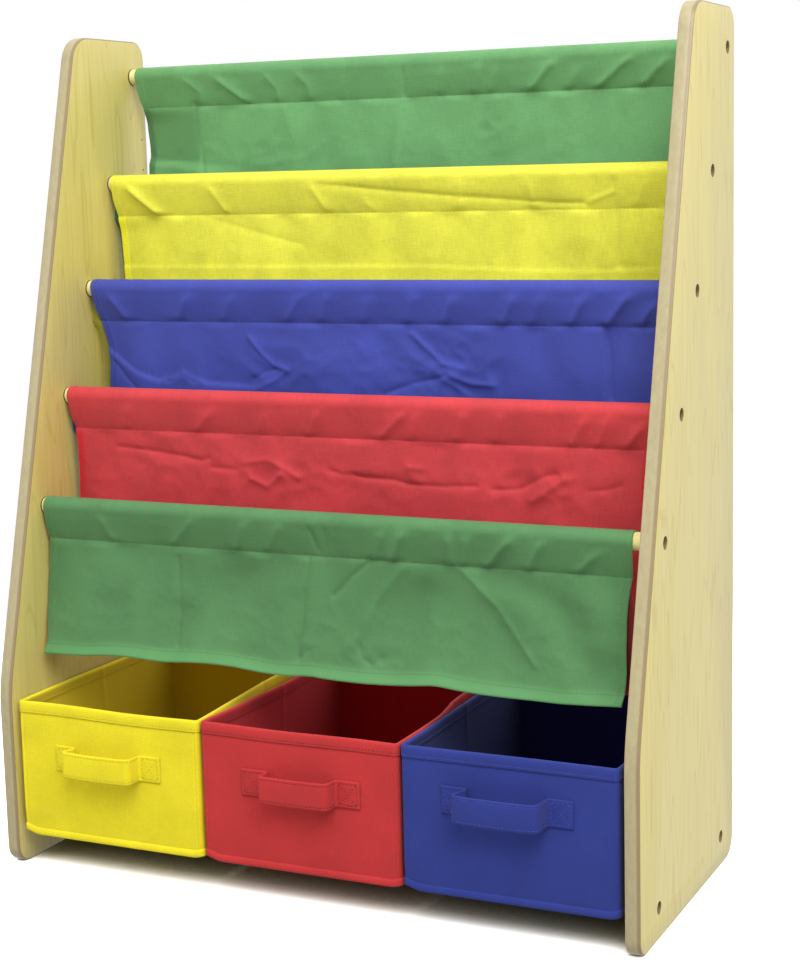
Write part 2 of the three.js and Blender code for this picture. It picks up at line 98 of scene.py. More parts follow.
# Distance between threads and between pressed dots, and the depths of reliefs, in metres
CLOTH_THREAD_PITCH = 0.0011
FELT_DOT_PITCH = 0.0017
PANEL_RELIEF = 0.00012
DOWEL_RELIEF = 0.0001
BOARD_RELIEF = 0.0002
CLOTH_RELIEF = 0.00004
FELT_RELIEF = 0.00015

# Scales of the figures: how many times each repeats in a metre, one number or one for each direction
PANEL_GRAIN = ((20.0, 330.0, 9.0), (3.0, 26.0, 2.4))
PANEL_PORES = (50.0, 900.0, 60.0)
PANEL_MOTTLE = (260.0, 260.0, 70.0)
PANEL_FLECKS = 700.0
DOWEL_GRAIN = ((8.0, 420.0, 420.0), (2.0, 60.0, 60.0))
SCREW_WEAR = 900.0
BOARD_FIBRES = (300.0, 300.0, 900.0)
CLOTH_WEFTS = (90.0, 1000.0, 1.0)
CLOTH_WARPS = (1000.0, 90.0, 1.0)
CLOTH_CLOUD = (26.0, 14.0, 1.0)
FELT_FIBRES = 900.0
FELT_CLOUD = 22.0
THREAD_TWIST = 1500.0
CONTOUR_LINES = 78.0
# Where the edge band goes over into a face, from the board's middle at 0 to its face at 0.5
PANEL_EDGE_END = (0.478, 0.492)

# How the slings and the skirt hang: the sizes of the solids that they stand for
WRAP_RADIUS = 8.8
LAYER_OFFSET = 0.65
STITCH_DROP = 32.0
POCKET_DEPTH = 141.0
SKIRT_DROP = 146.0
SKIRT_LEAN = 18.0
WAVE_HEIGHT = 3.5
WAVE_LENGTH = 235.0
WAVE_PHASE_STEP = 2.0
SEAM_ANGLE = math.pi / 5
BELLY_SHARE = 0.9
SIDE_FALL_SHARE = 0.75

# The cloth's half thickness, its hems and how far apart its points lie
CLOTH_FACE = 0.4
SIDE_HEM_WIDTH = 8.0
SIDE_HEM_STITCH = 6.0
HEM_FOLD = 0.45
SKIRT_HEM_WIDTH = 12.5
SKIRT_HEM_FLARE = 4.0
SKIRT_HEM_STITCH = 2.4
CLOTH_STEP = 1.8
HIDDEN_STEP = 4.0
SEEN_BELOW_STITCHES = 130.0
EDGE_ROUNDING = 0.8

# The cloth's relief, and how a sling's rear layer shows beside and behind the next one
STITCH_GROOVE = 0.35
SLEEVE_PUFF = 0.5
PUCKER_LIFT = 3.6
# How fast a pucker falls off to its left and right
PUCKER_SLOPES = (6.5, 5.5)
# Layers of soft waves: height, lengths across and down the cloth, and seed
SLEEVE_RIPPLES = ((0.5, 52, 70, 11), (0.3, 24, 40, 21))
FALL_WAVES = ((2.8, 130, 260, 31), (1.1, 46, 90, 41))
GATHER_LIFT = 0.9
GATHER_WAVE = 2.2
GATHER_LENGTH = 26.0
CRUMPLE_LIFT = 2.8
REAR_CURL = 10.0
REAR_CURL_SLOPE = 0.6
CREASE_LIFT = 2.1
CREASE_WIDTH = 0.7
SKIRT_FOLD_LIFT = 1.6
RIDGE_LEVEL = 0.6
REAR_LAYER_GAP = 0.9
REAR_RIGHT_SHOWS = 3.8
# How dark and how wide the painted shade is on the side strips of a sling's rear layer, which lie in shade
# beside the next cloth
REAR_SIDE_PAINTED_SHADE = 0.6
REAR_SIDE_SHADE_WIDTH = 24.0

# Stitches
STITCH_PITCH = 3.4
STITCH_SHARE = 0.72
THREAD_RADIUS = 0.3
THREAD_SIDES = 5
# How far a thread sinks into its cloth, as a share of its radius
THREAD_SINK = 0.45
# Rings of a stitch: their place along it and their share of its radius
THREAD_RINGS = ((0.0, 0.25), (0.22, 0.85), (0.5, 1.0), (0.78, 0.85), (1.0, 0.25))

# Bins
BIN_WALL = 3.8
BIN_CORNER = 5.0
BIN_FLOOR_BOW = 5.0
BIN_FOLD_DEPTH = 0.95
BIN_FOLD_WIDTH = 2.5
BIN_HEM = 11.0
BIN_DROOP = 5.4
DROOP_START = 10.0
# How much less the floor sags at its left and right corner, and from how far in
FOOT_LIFTS = ((-1, 3.8, 18), (1, 1.6, 10))
# How far the seam lies from a corner, and the insets of the cloth's outer face, of the hollow for the
# boards and of the lining
BIN_CORNER_SEAM = 5.4
BIN_LINING_FACE = 3.35
BIN_CLOTH_FACE = 0.6
BIN_HOLLOW_OUTER = 0.98
BIN_HOLLOW_INNER = 2.95
# Faces no deeper than this move with the slack of the outer cloth
BIN_RELIEF_DEPTH = 1.01
BIN_STITCH_HEIGHT = 2.6
# Stretches of the section through a bin's wall, as (inset, height). The welt's heights start at the
# floor, the bands' at the hem's lower edge and the rim's at the top.
BIN_WELT = [
    (2.4, 0.15), (0.6, 0.3), (-0.3, 0.8), (-0.7, 1.6), (-0.75, 3.0), (-0.5, 5.0), (0.1, 6.6), (0.7, 7.2),
    (0.85, 7.6), (0.7, 8.2), (0.6, 9.4),
]
BIN_BAND = [
    (0.8, -0.9), (0.75, -0.4), (0.0, -0.1), (-0.3, 0.7), (-0.3, 1.8), (-0.2, BIN_STITCH_HEIGHT), (-0.3, 3.4),
]
BIN_RIM = [
    (-0.3, -3.4), (0.1, -1.5), (0.5, -0.5), (1.2, -0.08), (1.9, 0), (2.6, -0.08), (3.3, -0.5), (3.7, -1.5),
    (BIN_WALL, -3.4),
]
BIN_INNER_BAND = [
    (BIN_WALL, 3.4), (3.6, BIN_STITCH_HEIGHT), (BIN_WALL, 1.8), (BIN_WALL, 0.6), (BIN_LINING_FACE, 0),
]
PLAN_STEP = 2.8
PLAN_CORNER_STEPS = 8
# A ring of the section that lies on the outer wall
WALL_RING = 20
# How far each side wall's rim bows in: (depth from the bin's middle, bow)
RIM_BOWS = {
    "yellow": {
        "left": [(-134, 0), (-75, -1.5), (-40, -1.5), (0, -0.3), (35, 0.5), (134, 0)],
        "right": [(-134, 0), (-73, 3.5), (-33, 5.5), (0, 7.5), (33, 9), (134, 0)],
    },
    "red": {
        "left": [(-134, 0), (-78, 4), (-45, 5.6), (-15, 7.6), (25, 7.6), (134, 0)],
        "right": [(-134, 0), (-74, 0), (-40, 0.6), (-15, 4.5), (12, 8.2), (40, 8.3), (134, 0)],
    },
    "blue": {
        "left": [(-134, 0), (0, 0), (134, 0)],
        "right": [(-134, 0), (-75, -0.8), (0, 0), (134, 0)],
    },
}
BOARD_OUTSET = 1.1
BOARD_INSET = 2.7
BOARD_EDGE_GAP = 1.1
FOLD_GAP = 2.0

# Bin handles
STRAP_BEND = 3.2
# Each handle as sewn on, left and right: where the loop ends, the patch's length, how far the
# loop's side leans out and the radius of its front corner. The loop stands out from the bin by reach.
STRAP_SHAPES = {
    "yellow": {"reach": 20.0, "left": (34.8, 22.2, 3.7, 3.2), "right": (34.8, 23.1, 0.0, 5.5)},
    "red": {"reach": 17.5, "left": (29.5, 27.0, 1.7, 3.2), "right": (38.0, 24.5, 0.0, 5.0)},
    "blue": {"reach": 25.0, "left": (37.0, 23.5, 4.5, 3.2), "right": (36.7, 23.2, -1.0, 5.5)},
}
STRAP_WIDTH = 25.0
STRAP_HALF_THICKNESS = 0.7
STRAP_GAP = 0.3
STRAP_STITCH_INSET = 2.8
# The strap's grid step, stitch groove, curl across, lean and, on its flat cloth, its own place
STRAP_STEP = 1.3
STRAP_GROOVE = 0.2
STRAP_CUP = 0.5
STRAP_LEAN = 0.02
STRAP_PLACE = 1000.0

# Studio: the light from the world's horizon, from above and added from behind, the lamps and the floor
WORLD_LOW = 0.2
WORLD_HIGH = 1.2
WORLD_BEHIND = 1.3
# Lamps: place, size and power
LIGHTS = {"key": ((1.1, -1.5, 2.6), 2.2, 96), "left_fill": ((-1.6, -2.0, 1.3), 1.4, 5)}
LIGHT_TARGET = (0, 0, 0.42)
WORLD_TINT = (1.0, 0.985, 0.96, 1)
WHITE = (1, 1, 1, 1)
FLOOR_REACH = 6000.0
FLOOR_BOUNCE = (0.4, 0.39, 0.36, 1)
FLOOR_SEEN = (1.7, 1.69, 1.64, 1)
# The floor's painted shadow under the bins, tinted like light bounced from them
FLOOR_PAINTED_SHADOW = (0.17, 0.16, 0.08, 1)

# Where closer grid lines lie round a row of stitches and round a hem's step
CLOSE_OFFSETS = (-3.0, -1.5, -0.7, 0.0, 0.7, 1.5, 3.0)
STEP_OFFSETS = (-2.4, -0.25, 0.25, 2.4)


def linear(colour):
    """A colour from 0 to 255 as the linear RGBA that shaders take."""
    shares = [part / 255 for part in colour]
    lit = [s / 12.92 if s <= 0.04045 else ((s + 0.055) / 1.055) ** 2.4 for s in shares]
    return (*lit, 1.0)


def toned(share, colour):
    """A colour with every part times a share."""
    return tuple(share * part for part in colour)


def bell(distance, width):
    """1 at no distance, falling off smoothly within about twice the width."""
    return np.exp(-((distance / width) ** 2))


def lengths_along(line):
    """How far along a line of points each one lies."""
    return np.concatenate([[0], np.cumsum(np.linalg.norm(np.diff(line, axis=0), axis=1))])


def smoothstep(low, high, value):
    """0 up to low, 1 from high on, and smooth between."""
    share = np.clip((np.asarray(value, float) - low) / (high - low), 0, 1)
    return share * share * (3 - 2 * share)


def soft_noise(x, y, length_x, length_y, seed, terms=12):
    """Smooth seeded noise, mostly between -1 and 1, with bumps about length_x by length_y."""
    draw = np.random.default_rng(seed)
    total = np.zeros(np.broadcast(x, y).shape)
    for _ in range(terms):
        angle = draw.uniform(0, 2 * math.pi)
        scale = draw.uniform(0.35, 1.0)
        phase = draw.uniform(0, 2 * math.pi)
        along = x * math.cos(angle) / length_x + y * math.sin(angle) / length_y
        total = total + np.cos(2 * math.pi * scale * along + phase)
    return total / math.sqrt(2 * terms)


def distance_to_line(x, y, points):
    """Distance of each place to a polyline, in the cloth's own plane."""
    nearest = np.full(np.broadcast(x, y).shape, np.inf)
    for (x0, y0), (x1, y1) in zip(points[:-1], points[1:]):
        length = (x1 - x0) ** 2 + (y1 - y0) ** 2
        share = np.clip(((x - x0) * (x1 - x0) + (y - y0) * (y1 - y0)) / length, 0, 1)
        gap = np.hypot(x - x0 - share * (x1 - x0), y - y0 - share * (y1 - y0))
        nearest = np.minimum(nearest, gap)
    return nearest


def crease(x, y, height, width, points):
    """A sharp fold that stands height over the cloth and dies out over width."""
    return height * np.exp(-distance_to_line(x, y, points) / width)


def furrow(x, y, width, points):
    """A soft round fold, 1 along its line."""
    return bell(distance_to_line(x, y, points), width)


def spaced(length, step, close_to=(), steps_at=()):
    """Places from 0 to length, step apart, with closer ones round stitches and hem edges."""
    places = np.linspace(0, length, max(2, round(length / step) + 1))
    for middles, offsets in ((close_to, CLOSE_OFFSETS), (steps_at, STEP_OFFSETS)):
        for middle in middles:
            reach = max(offsets) + step / 3
            ends = (places == 0) | (places == length)
            places = places[(np.abs(places - middle) > reach) | ends]
            extra = [middle + offset for offset in offsets if 0 < middle + offset < length]
            places = np.sort(np.concatenate([places, extra]))
    return places


# Meshes


def add_mesh(name, points, faces, material, place=None, smooth=True):
    """A new object from points in millimetres. place is each point's spot on the flat cloth."""
    mesh = bpy.data.meshes.new(name)
    mesh.from_pydata((np.asarray(points) * MM).tolist(), [], faces)
    mesh.materials.append(material)
    mesh.polygons.foreach_set("use_smooth", [smooth] * len(mesh.polygons))
    if place is not None:
        spots = mesh.attributes.new("cloth_place", "FLOAT_VECTOR", "POINT")
        spots.data.foreach_set("vector", (np.asarray(place) * MM).ravel())
    mesh.update()
    made = bpy.data.objects.new(name, mesh)
    bpy.context.scene.collection.objects.link(made)
    return made


def closed_loft_faces(rows, columns):
    """Faces of rings that close on themselves, with a cap on the first and the last."""
    numbers = np.arange(rows * columns).reshape(rows, columns)
    a, b = numbers[:-1], np.roll(numbers, -1, axis=1)[:-1]
    sides = np.stack([a, b, b + columns, a + columns], 2).reshape(-1, 4)
    return sides.tolist() + [numbers[0, ::-1].tolist(), numbers[-1].tolist()]


def grid_normals(grid, closed=False):
    """Unit normals of a grid of points, towards the side where rows x columns points."""
    if closed:
        across = np.roll(grid, -1, axis=1) - np.roll(grid, 1, axis=1)
    else:
        across = np.gradient(grid, axis=1)
    along = np.gradient(grid, axis=0)
    normals = np.cross(along, across)
    return normals / np.maximum(np.linalg.norm(normals, axis=2, keepdims=True), 1e-9)


def shell(name, middle, front, back, flat, material):
    """A closed sheet: middle is a grid of points, front and back how far each face lies from it."""
    rows, columns = middle.shape[:2]
    normals = grid_normals(middle)
    front_face = middle + normals * front[..., None]
    back_face = middle - normals * back[..., None]
    numbers = np.arange(rows * columns).reshape(rows, columns)
    behind = numbers + rows * columns

    def quads(a, b, c, d):
        return np.stack([a.ravel(), b.ravel(), c.ravel(), d.ravel()], 1)

    faces = np.concatenate([
        quads(numbers[:-1, :-1], numbers[1:, :-1], numbers[1:, 1:], numbers[:-1, 1:]),
        quads(behind[:-1, :-1], behind[:-1, 1:], behind[1:, 1:], behind[1:, :-1]),
        quads(numbers[:-1, 0], behind[:-1, 0], behind[1:, 0], numbers[1:, 0]),
        quads(numbers[:-1, -1], numbers[1:, -1], behind[1:, -1], behind[:-1, -1]),
        quads(numbers[0, :-1], numbers[0, 1:], behind[0, 1:], behind[0, :-1]),
        quads(numbers[-1, :-1], behind[-1, :-1], behind[-1, 1:], numbers[-1, 1:]),
    ])
    points = np.concatenate([front_face.reshape(-1, 3), back_face.reshape(-1, 3)])
    place = np.concatenate([flat.reshape(-1, 3), flat.reshape(-1, 3)])
    made = add_mesh(name, points, faces.tolist(), material, place)
    return made, front_face, back_face, normals


def mark(made, name, shares):
    """Stores a share at each of a mesh's points for its material."""
    spots = made.data.attributes.new(name, "FLOAT", "POINT")
    spots.data.foreach_set("value", np.ravel(shares))


def declare(made, body, replaced=None):
    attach(made, body)
    if replaced:
        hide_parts(replaced)


def stitch_row(path, normals):
    """Short threads along a path that lies on cloth. Gives points and faces."""
    path, normals = np.asarray(path, float), np.asarray(normals, float)
    lengths = lengths_along(path)
    count = max(1, int(lengths[-1] / STITCH_PITCH))
    pitch = lengths[-1] / count
    turns = 2 * math.pi * np.arange(THREAD_SIDES) / THREAD_SIDES
    thread_faces = closed_loft_faces(len(THREAD_RINGS), THREAD_SIDES)
    points, faces = [], []
    for number in range(count):
        start = (number + (1 - STITCH_SHARE) / 2) * pitch
        stops = [start + share * STITCH_SHARE * pitch for share, _ in THREAD_RINGS]
        middles = np.stack([np.interp(stops, lengths, path[:, k]) for k in range(3)], 1)
        out = np.stack([np.interp(stops, lengths, normals[:, k]) for k in range(3)], 1)
        out /= np.linalg.norm(out, axis=1, keepdims=True)
        along = middles[-1] - middles[0]
        aside = np.cross(along / np.linalg.norm(along), out)
        faces += [[corner + len(points) for corner in face] for face in thread_faces]
        for middle, up, side, (_, size) in zip(middles, out, aside, THREAD_RINGS):
            arms = np.outer(np.cos(turns), side) + np.outer(np.sin(turns), up)
            points.extend(middle + THREAD_RADIUS * ((size - THREAD_SINK) * up + size * arms))
    return points, faces


def stitches(name, runs, material):
    """One mesh of all the stitch rows of a piece. runs holds (path, normals) pairs."""
    points, faces = [], []
    for path, normals in runs:
        new_points, new_faces = stitch_row(path, normals)
        faces += [[corner + len(points) for corner in face] for face in new_faces]
        points += new_points
    return add_mesh(name, points, faces, material)


# Materials


class Wire:
    """A shader node's output. Wires can be added, subtracted and multiplied."""

    def __init__(self, tree, socket):
        self.tree = tree
        self.socket = socket

    def maths(self, operation, other=0.5):
        return wire(self.tree, "Math", {0: self, 1: other}, operation=operation)

    def __add__(self, other):
        return self.maths("ADD", other)

    def __sub__(self, other):
        return self.maths("SUBTRACT", other)

    def __mul__(self, other):
        return self.maths("MULTIPLY", other)

    def __abs__(self):
        return self.maths("ABSOLUTE")


def feed(socket, value):
    """Links an input to a wire, or sets it to a value."""
    if isinstance(value, Wire):
        value.tree.links.new(value.socket, socket)
    else:
        socket.default_value = value


def wire(tree, kind, inputs=None, output=0, **settings):
    """A new shader node's output, with the node's inputs fed and its settings made."""
    made = tree.nodes.new(f"ShaderNode{kind}")
    for key, value in settings.items():
        setattr(made, key, value)
    for key, value in (inputs or {}).items():
        feed(made.inputs[key], value)
    return Wire(tree, made.outputs[output])


def attribute(tree, name, output="Fac"):
    return wire(tree, "Attribute", output=output, attribute_name=name)


def split(place):
    """The three parts of a place or direction."""
    parts = wire(place.tree, "SeparateXYZ", {"Vector": place}).socket.node.outputs
    return [Wire(place.tree, part) for part in parts]


def ramp(value, low, high, new_low=0.0, new_high=1.0):
    """value stretched from low..high to new_low..new_high, held at the ends."""
    inputs = {"Value": value, "From Min": low, "From Max": high, "To Min": new_low, "To Max": new_high}
    return wire(value.tree, "MapRange", inputs)


def blend(share, first, second, kind="MIX"):
    """A mix of two colours: wires, colours from 0 to 255 or linear ones with four parts."""
    inputs = {0: share, 6: first, 7: second}
    for key in (6, 7):
        if not isinstance(inputs[key], Wire) and len(inputs[key]) == 3:
            inputs[key] = linear(inputs[key])
    return wire(share.tree, "Mix", inputs, 2, data_type="RGBA", blend_type=kind)


def mix_shaders(share, first, second):
    return wire(first.tree, "MixShader", {0: share, 1: first, 2: second})


def noise(place, scale, detail=3.0, roughness=0.55):
    """Noise from 0 to 1. Three scales stretch it."""
    if isinstance(scale, tuple):
        place = wire(place.tree, "Mapping", {"Vector": place, "Scale": scale})
        scale = 1.0
    inputs = {"Vector": place, "Scale": scale, "Detail": detail, "Roughness": roughness}
    return wire(place.tree, "TexNoise", inputs, "Fac")


def new_material(name, roughness, metallic=0.0, specular=0.3, sheen=()):
    """A material with its principled shader and its object coordinates."""
    material = bpy.data.materials.new(name)
    material.use_nodes = True
    shader = material.node_tree.nodes["Principled BSDF"]
    values = {"Roughness": roughness, "Metallic": metallic, "Specular IOR Level": specular}
    values.update(zip(("Sheen Weight", "Sheen Roughness", "Sheen Tint"), sheen))
    for key, value in values.items():
        shader.inputs[key].default_value = value
    return material, shader, wire(material.node_tree, "TexCoord", output="Object")


def coat(shader, colour, relief=None, depth=0.0, strength=1.0):
    """Gives a shader its colour and, where it has one, its relief of a depth in metres."""
    feed(shader.inputs["Base Color"], colour)
    if relief is not None:
        inputs = {"Height": relief, "Distance": depth, "Strength": strength}
        feed(shader.inputs["Normal"], wire(colour.tree, "Bump", inputs))


def set_surface(tree, output, shown):
    feed(tree.nodes[output].inputs["Surface"], shown)


def wood_figure(place, across, along):
    """Fine grain, short pores and slow contour lines, from 0 (pale) to 1 (dark)."""
    fine = noise(place, across, 5.0, 0.6)
    slow = noise(place, along, 2.0, 0.45)
    lines = ramp((slow * CONTOUR_LINES).maths("SINE"), 0.8, 1.0, 0.0, 0.55)
    return (ramp(fine, 0.3, 0.75, 0.0, 0.6) + lines) * ramp(slow, 0.3, 0.7, 0.6, 1.0)


def panel_material(inner_x, outer_x):
    """Laminated board: pale grained faces and a plain mottled edge band with darker arrises."""
    material, shader, place = new_material("panel_laminate", 0.36, specular=0.6)
    figure = wood_figure(place, *PANEL_GRAIN)
    face = blend(ramp(figure, 0.1, 1.25, 0.0, 0.75), PANEL_PALE, PANEL_STREAK)
    pores = ramp(noise(place, PANEL_PORES, 2.0), 0.66, 0.8, 0.0, 0.3)
    face = blend(pores, face, PANEL_STREAK)
    mottle = noise(place, PANEL_MOTTLE, 4.0, 0.7)
    wear = ramp(mottle, 0.35, 0.8) * ramp(noise(place, PANEL_FLECKS, 2.0), 0.3, 0.7, 0.5, 1.0)
    edge = blend(wear * 0.55, PANEL_EDGE, PANEL_EDGE_DARK)
    x = split(place)[0]
    from_inside = ramp(abs(x), inner_x, outer_x, -0.5, 0.5)
    to_right = from_inside * x.maths("SIGN")
    # Towards the right of each edge band the colour turns dark: a dark arris line, and painted shade in the
    # right panel's screw recesses, whose walls lie in this band
    edge = blend(ramp(to_right, 0.22, 0.32, 0.0, 0.85), edge, PANEL_EDGE_DARK)
    edge = blend(ramp(to_right, -0.46, -0.4, 0.8, 0.0), edge, PANEL_ARRIS)
    band_end, face_start = PANEL_EDGE_END
    on_face = ramp(abs(from_inside), band_end, face_start)
    # The faces inside the rack get painted shade and painted yellow bounce light from the cloth
    inside_bounce_share = ramp(from_inside, -face_start, -band_end, 1.0, 0.0)
    face = blend(inside_bounce_share, face, PANEL_INSIDE_PAINTED_BOUNCE, "MULTIPLY")
    coat(shader, blend(on_face, edge, face), figure + pores, PANEL_RELIEF, 0.5)
    return material


def dowel_material(inner_x):
    """Pale turned wood, with a painted contact shadow where it enters the panels."""
    material, shader, place = new_material("dowel_wood", 0.55)
    figure = wood_figure(place, *DOWEL_GRAIN)
    colour = blend(ramp(figure, 0.1, 1.3, 0.0, 0.8), DOWEL_PALE, DOWEL_STREAK)
    # A painted contact shadow darkens each dowel where it enters a panel
    shadow_from, shadow_to = (inner_x - distance * MM for distance in DOWEL_PAINTED_SHADOW)
    painted_shadow = ramp(abs(split(place)[0]), shadow_from, shadow_to)
    coat(shader, blend(painted_shadow, colour, toned(DOWEL_SHADOW_TONE, DOWEL_STREAK)), figure, DOWEL_RELIEF, 0.6)
    return material


def screw_material():
    material, shader, place = new_material("screw_metal", 0.38, metallic=1.0, specular=0.5)
    wear = noise(place, SCREW_WEAR)
    coat(shader, blend(ramp(wear, 0.4, 0.7), SCREW_BRONZE, toned(SCREW_TONE, SCREW_BRONZE)))
    feed(shader.inputs["Roughness"], ramp(wear, 0.3, 0.7, 0.28, 0.5))
    return material


def cardboard_material():
    material, shader, place = new_material("board_grey", 0.9)
    fibre = noise(place, BOARD_FIBRES, 4.0, 0.7)
    colour = blend(ramp(fibre, 0.3, 0.7), BOARD_BROWN, toned(BOARD_TONE, BOARD_BROWN))
    coat(shader, colour, fibre, BOARD_RELIEF)
    return material


def thread_wave(value, pitch):
    """The rise and fall of threads that lie pitch metres apart."""
    return ramp((value * (2 * math.pi / pitch)).maths("SINE"), -1.0, 1.0)


def weave(place, pitch):
    """Threads both ways across the flat cloth."""
    across, down, _ = split(place)
    return thread_wave(across, pitch) * thread_wave(down, pitch)


def cloth_material(name, colour, hem_colour, see_through):
    """Plain woven cloth that lets a little light through."""
    sheen = (0.8, 0.4, linear([(255 + part) / 2 for part in colour]))
    material, shader, _ = new_material(name, 0.6, specular=0.2, sheen=sheen)
    tree = material.node_tree
    place = attribute(tree, "cloth_place", "Vector")
    slubs = noise(place, CLOTH_WEFTS, 3.0, 0.6) + noise(place, CLOTH_WARPS, 3.0, 0.6)
    tone = ramp(slubs, 0.75, 1.3, 0.0, 0.42) + ramp(noise(place, CLOTH_CLOUD), 0.35, 0.7, 0.0, 0.3)
    shade = blend(tone, colour, toned(CLOTH_TONE, colour))
    # Hem colour: on the green and blue slings a painted shade, where the doubled cloth lets less light
    # through
    shade = blend(attribute(tree, "hem_share"), shade, hem_colour)
    # Painted shade on the rear layer's side strips and on the painted shade patches of folds
    shade = blend(attribute(tree, "painted_shade_share"), shade, toned(REAR_SIDE_PAINTED_SHADE, colour))
    coat(shader, shade, weave(place, CLOTH_THREAD_PITCH) + slubs, CLOTH_RELIEF, 0.7)
    glow = wire(tree, "BsdfTranslucent", {"Color": wire(tree, "Gamma", {"Color": shade, "Gamma": 0.5})})
    set_surface(tree, "Material Output", mix_shaders(see_through, Wire(tree, shader.outputs[0]), glow))
    return material


def felt_material(name, colour, inside_shade_tint):
    """Bonded bin cloth: matt, with fine fibres and a close grid of pressed dots."""
    material, shader, place = new_material(name, 0.8, specular=0.1, sheen=(0.05, 0.6))
    tree = material.node_tree
    dots = weave(attribute(tree, "cloth_place", "Vector"), FELT_DOT_PITCH)
    fibres = noise(place, FELT_FIBRES, 4.0, 0.7)
    dark = toned(FELT_TONE, colour)
    tone = ramp(fibres, 0.35, 0.7, 0.0, 0.4) + ramp(noise(place, FELT_CLOUD), 0.35, 0.7, 0.0, 0.3)
    shade = blend(ramp(dots, 0.45, 0.9, 0.0, 0.3), blend(tone, colour, dark), dark)
    # The lining inside the bin gets painted shade
    inside_shade_colour = [tint * part for tint, part in zip(inside_shade_tint, colour)]
    shade = blend(attribute(tree, "inside_painted_shade"), shade, inside_shade_colour)
    coat(shader, shade, fibres - dots * 0.8, FELT_RELIEF, 0.7)
    return material


def thread_material(name, colour, share):
    """Sewing thread in the cloth's colour, a shade lighter or darker."""
    material, shader, place = new_material(name, 0.6)
    tone = [min(255, part) for part in toned(share, colour)]
    coat(shader, blend(noise(place, THREAD_TWIST, 1.0), tone, toned(THREAD_TONE, tone)))
    return material


# The CAD pieces that stay: panels, dowels, screws and wall boards


def box_middle(node):
    low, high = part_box(node)
    return (low + high) / 2 / MM


def round_off(node, angle):
    """Shades faces that meet under angle as one smooth surface."""
    mesh = node.data
    if "custom_normal" in mesh.attributes:
        mesh.attributes.remove(mesh.attributes["custom_normal"])
    mesh.polygons.foreach_set("use_smooth", [True] * len(mesh.polygons))
    weld = node.modifiers.new("weld", "WELD")
    weld.merge_threshold = 0.01 * MM
    split = node.modifiers.new("split", "EDGE_SPLIT")
    split.split_angle = math.radians(angle)


def dress(node, material, angle=32):
    """Gives a CAD piece its material and rounds off its shading."""
    node.data.materials.clear()
    node.data.materials.append(material)
    round_off(node, angle)


def dress_rigid_pieces():
    """The wood, metal and cardboard pieces."""
    low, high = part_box("right_side_panel")
    panel = panel_material(low.x, high.x)
    dowel, screw, board = dowel_material(low.x), screw_material(), cardboard_material()
    for name, node in nodes.items():
        if "panel" in name:
            dress(node, panel)
        elif "screw" in name:
            dress(node, screw)
        elif "rod" in name:
            dress(node, dowel)
        elif "board" in name and "base" not in name:
            dress(node, board)


# Slings and skirt


SLING_RODS = [box_middle(f"sling_rod_{number}") for number in range(1, 6)]
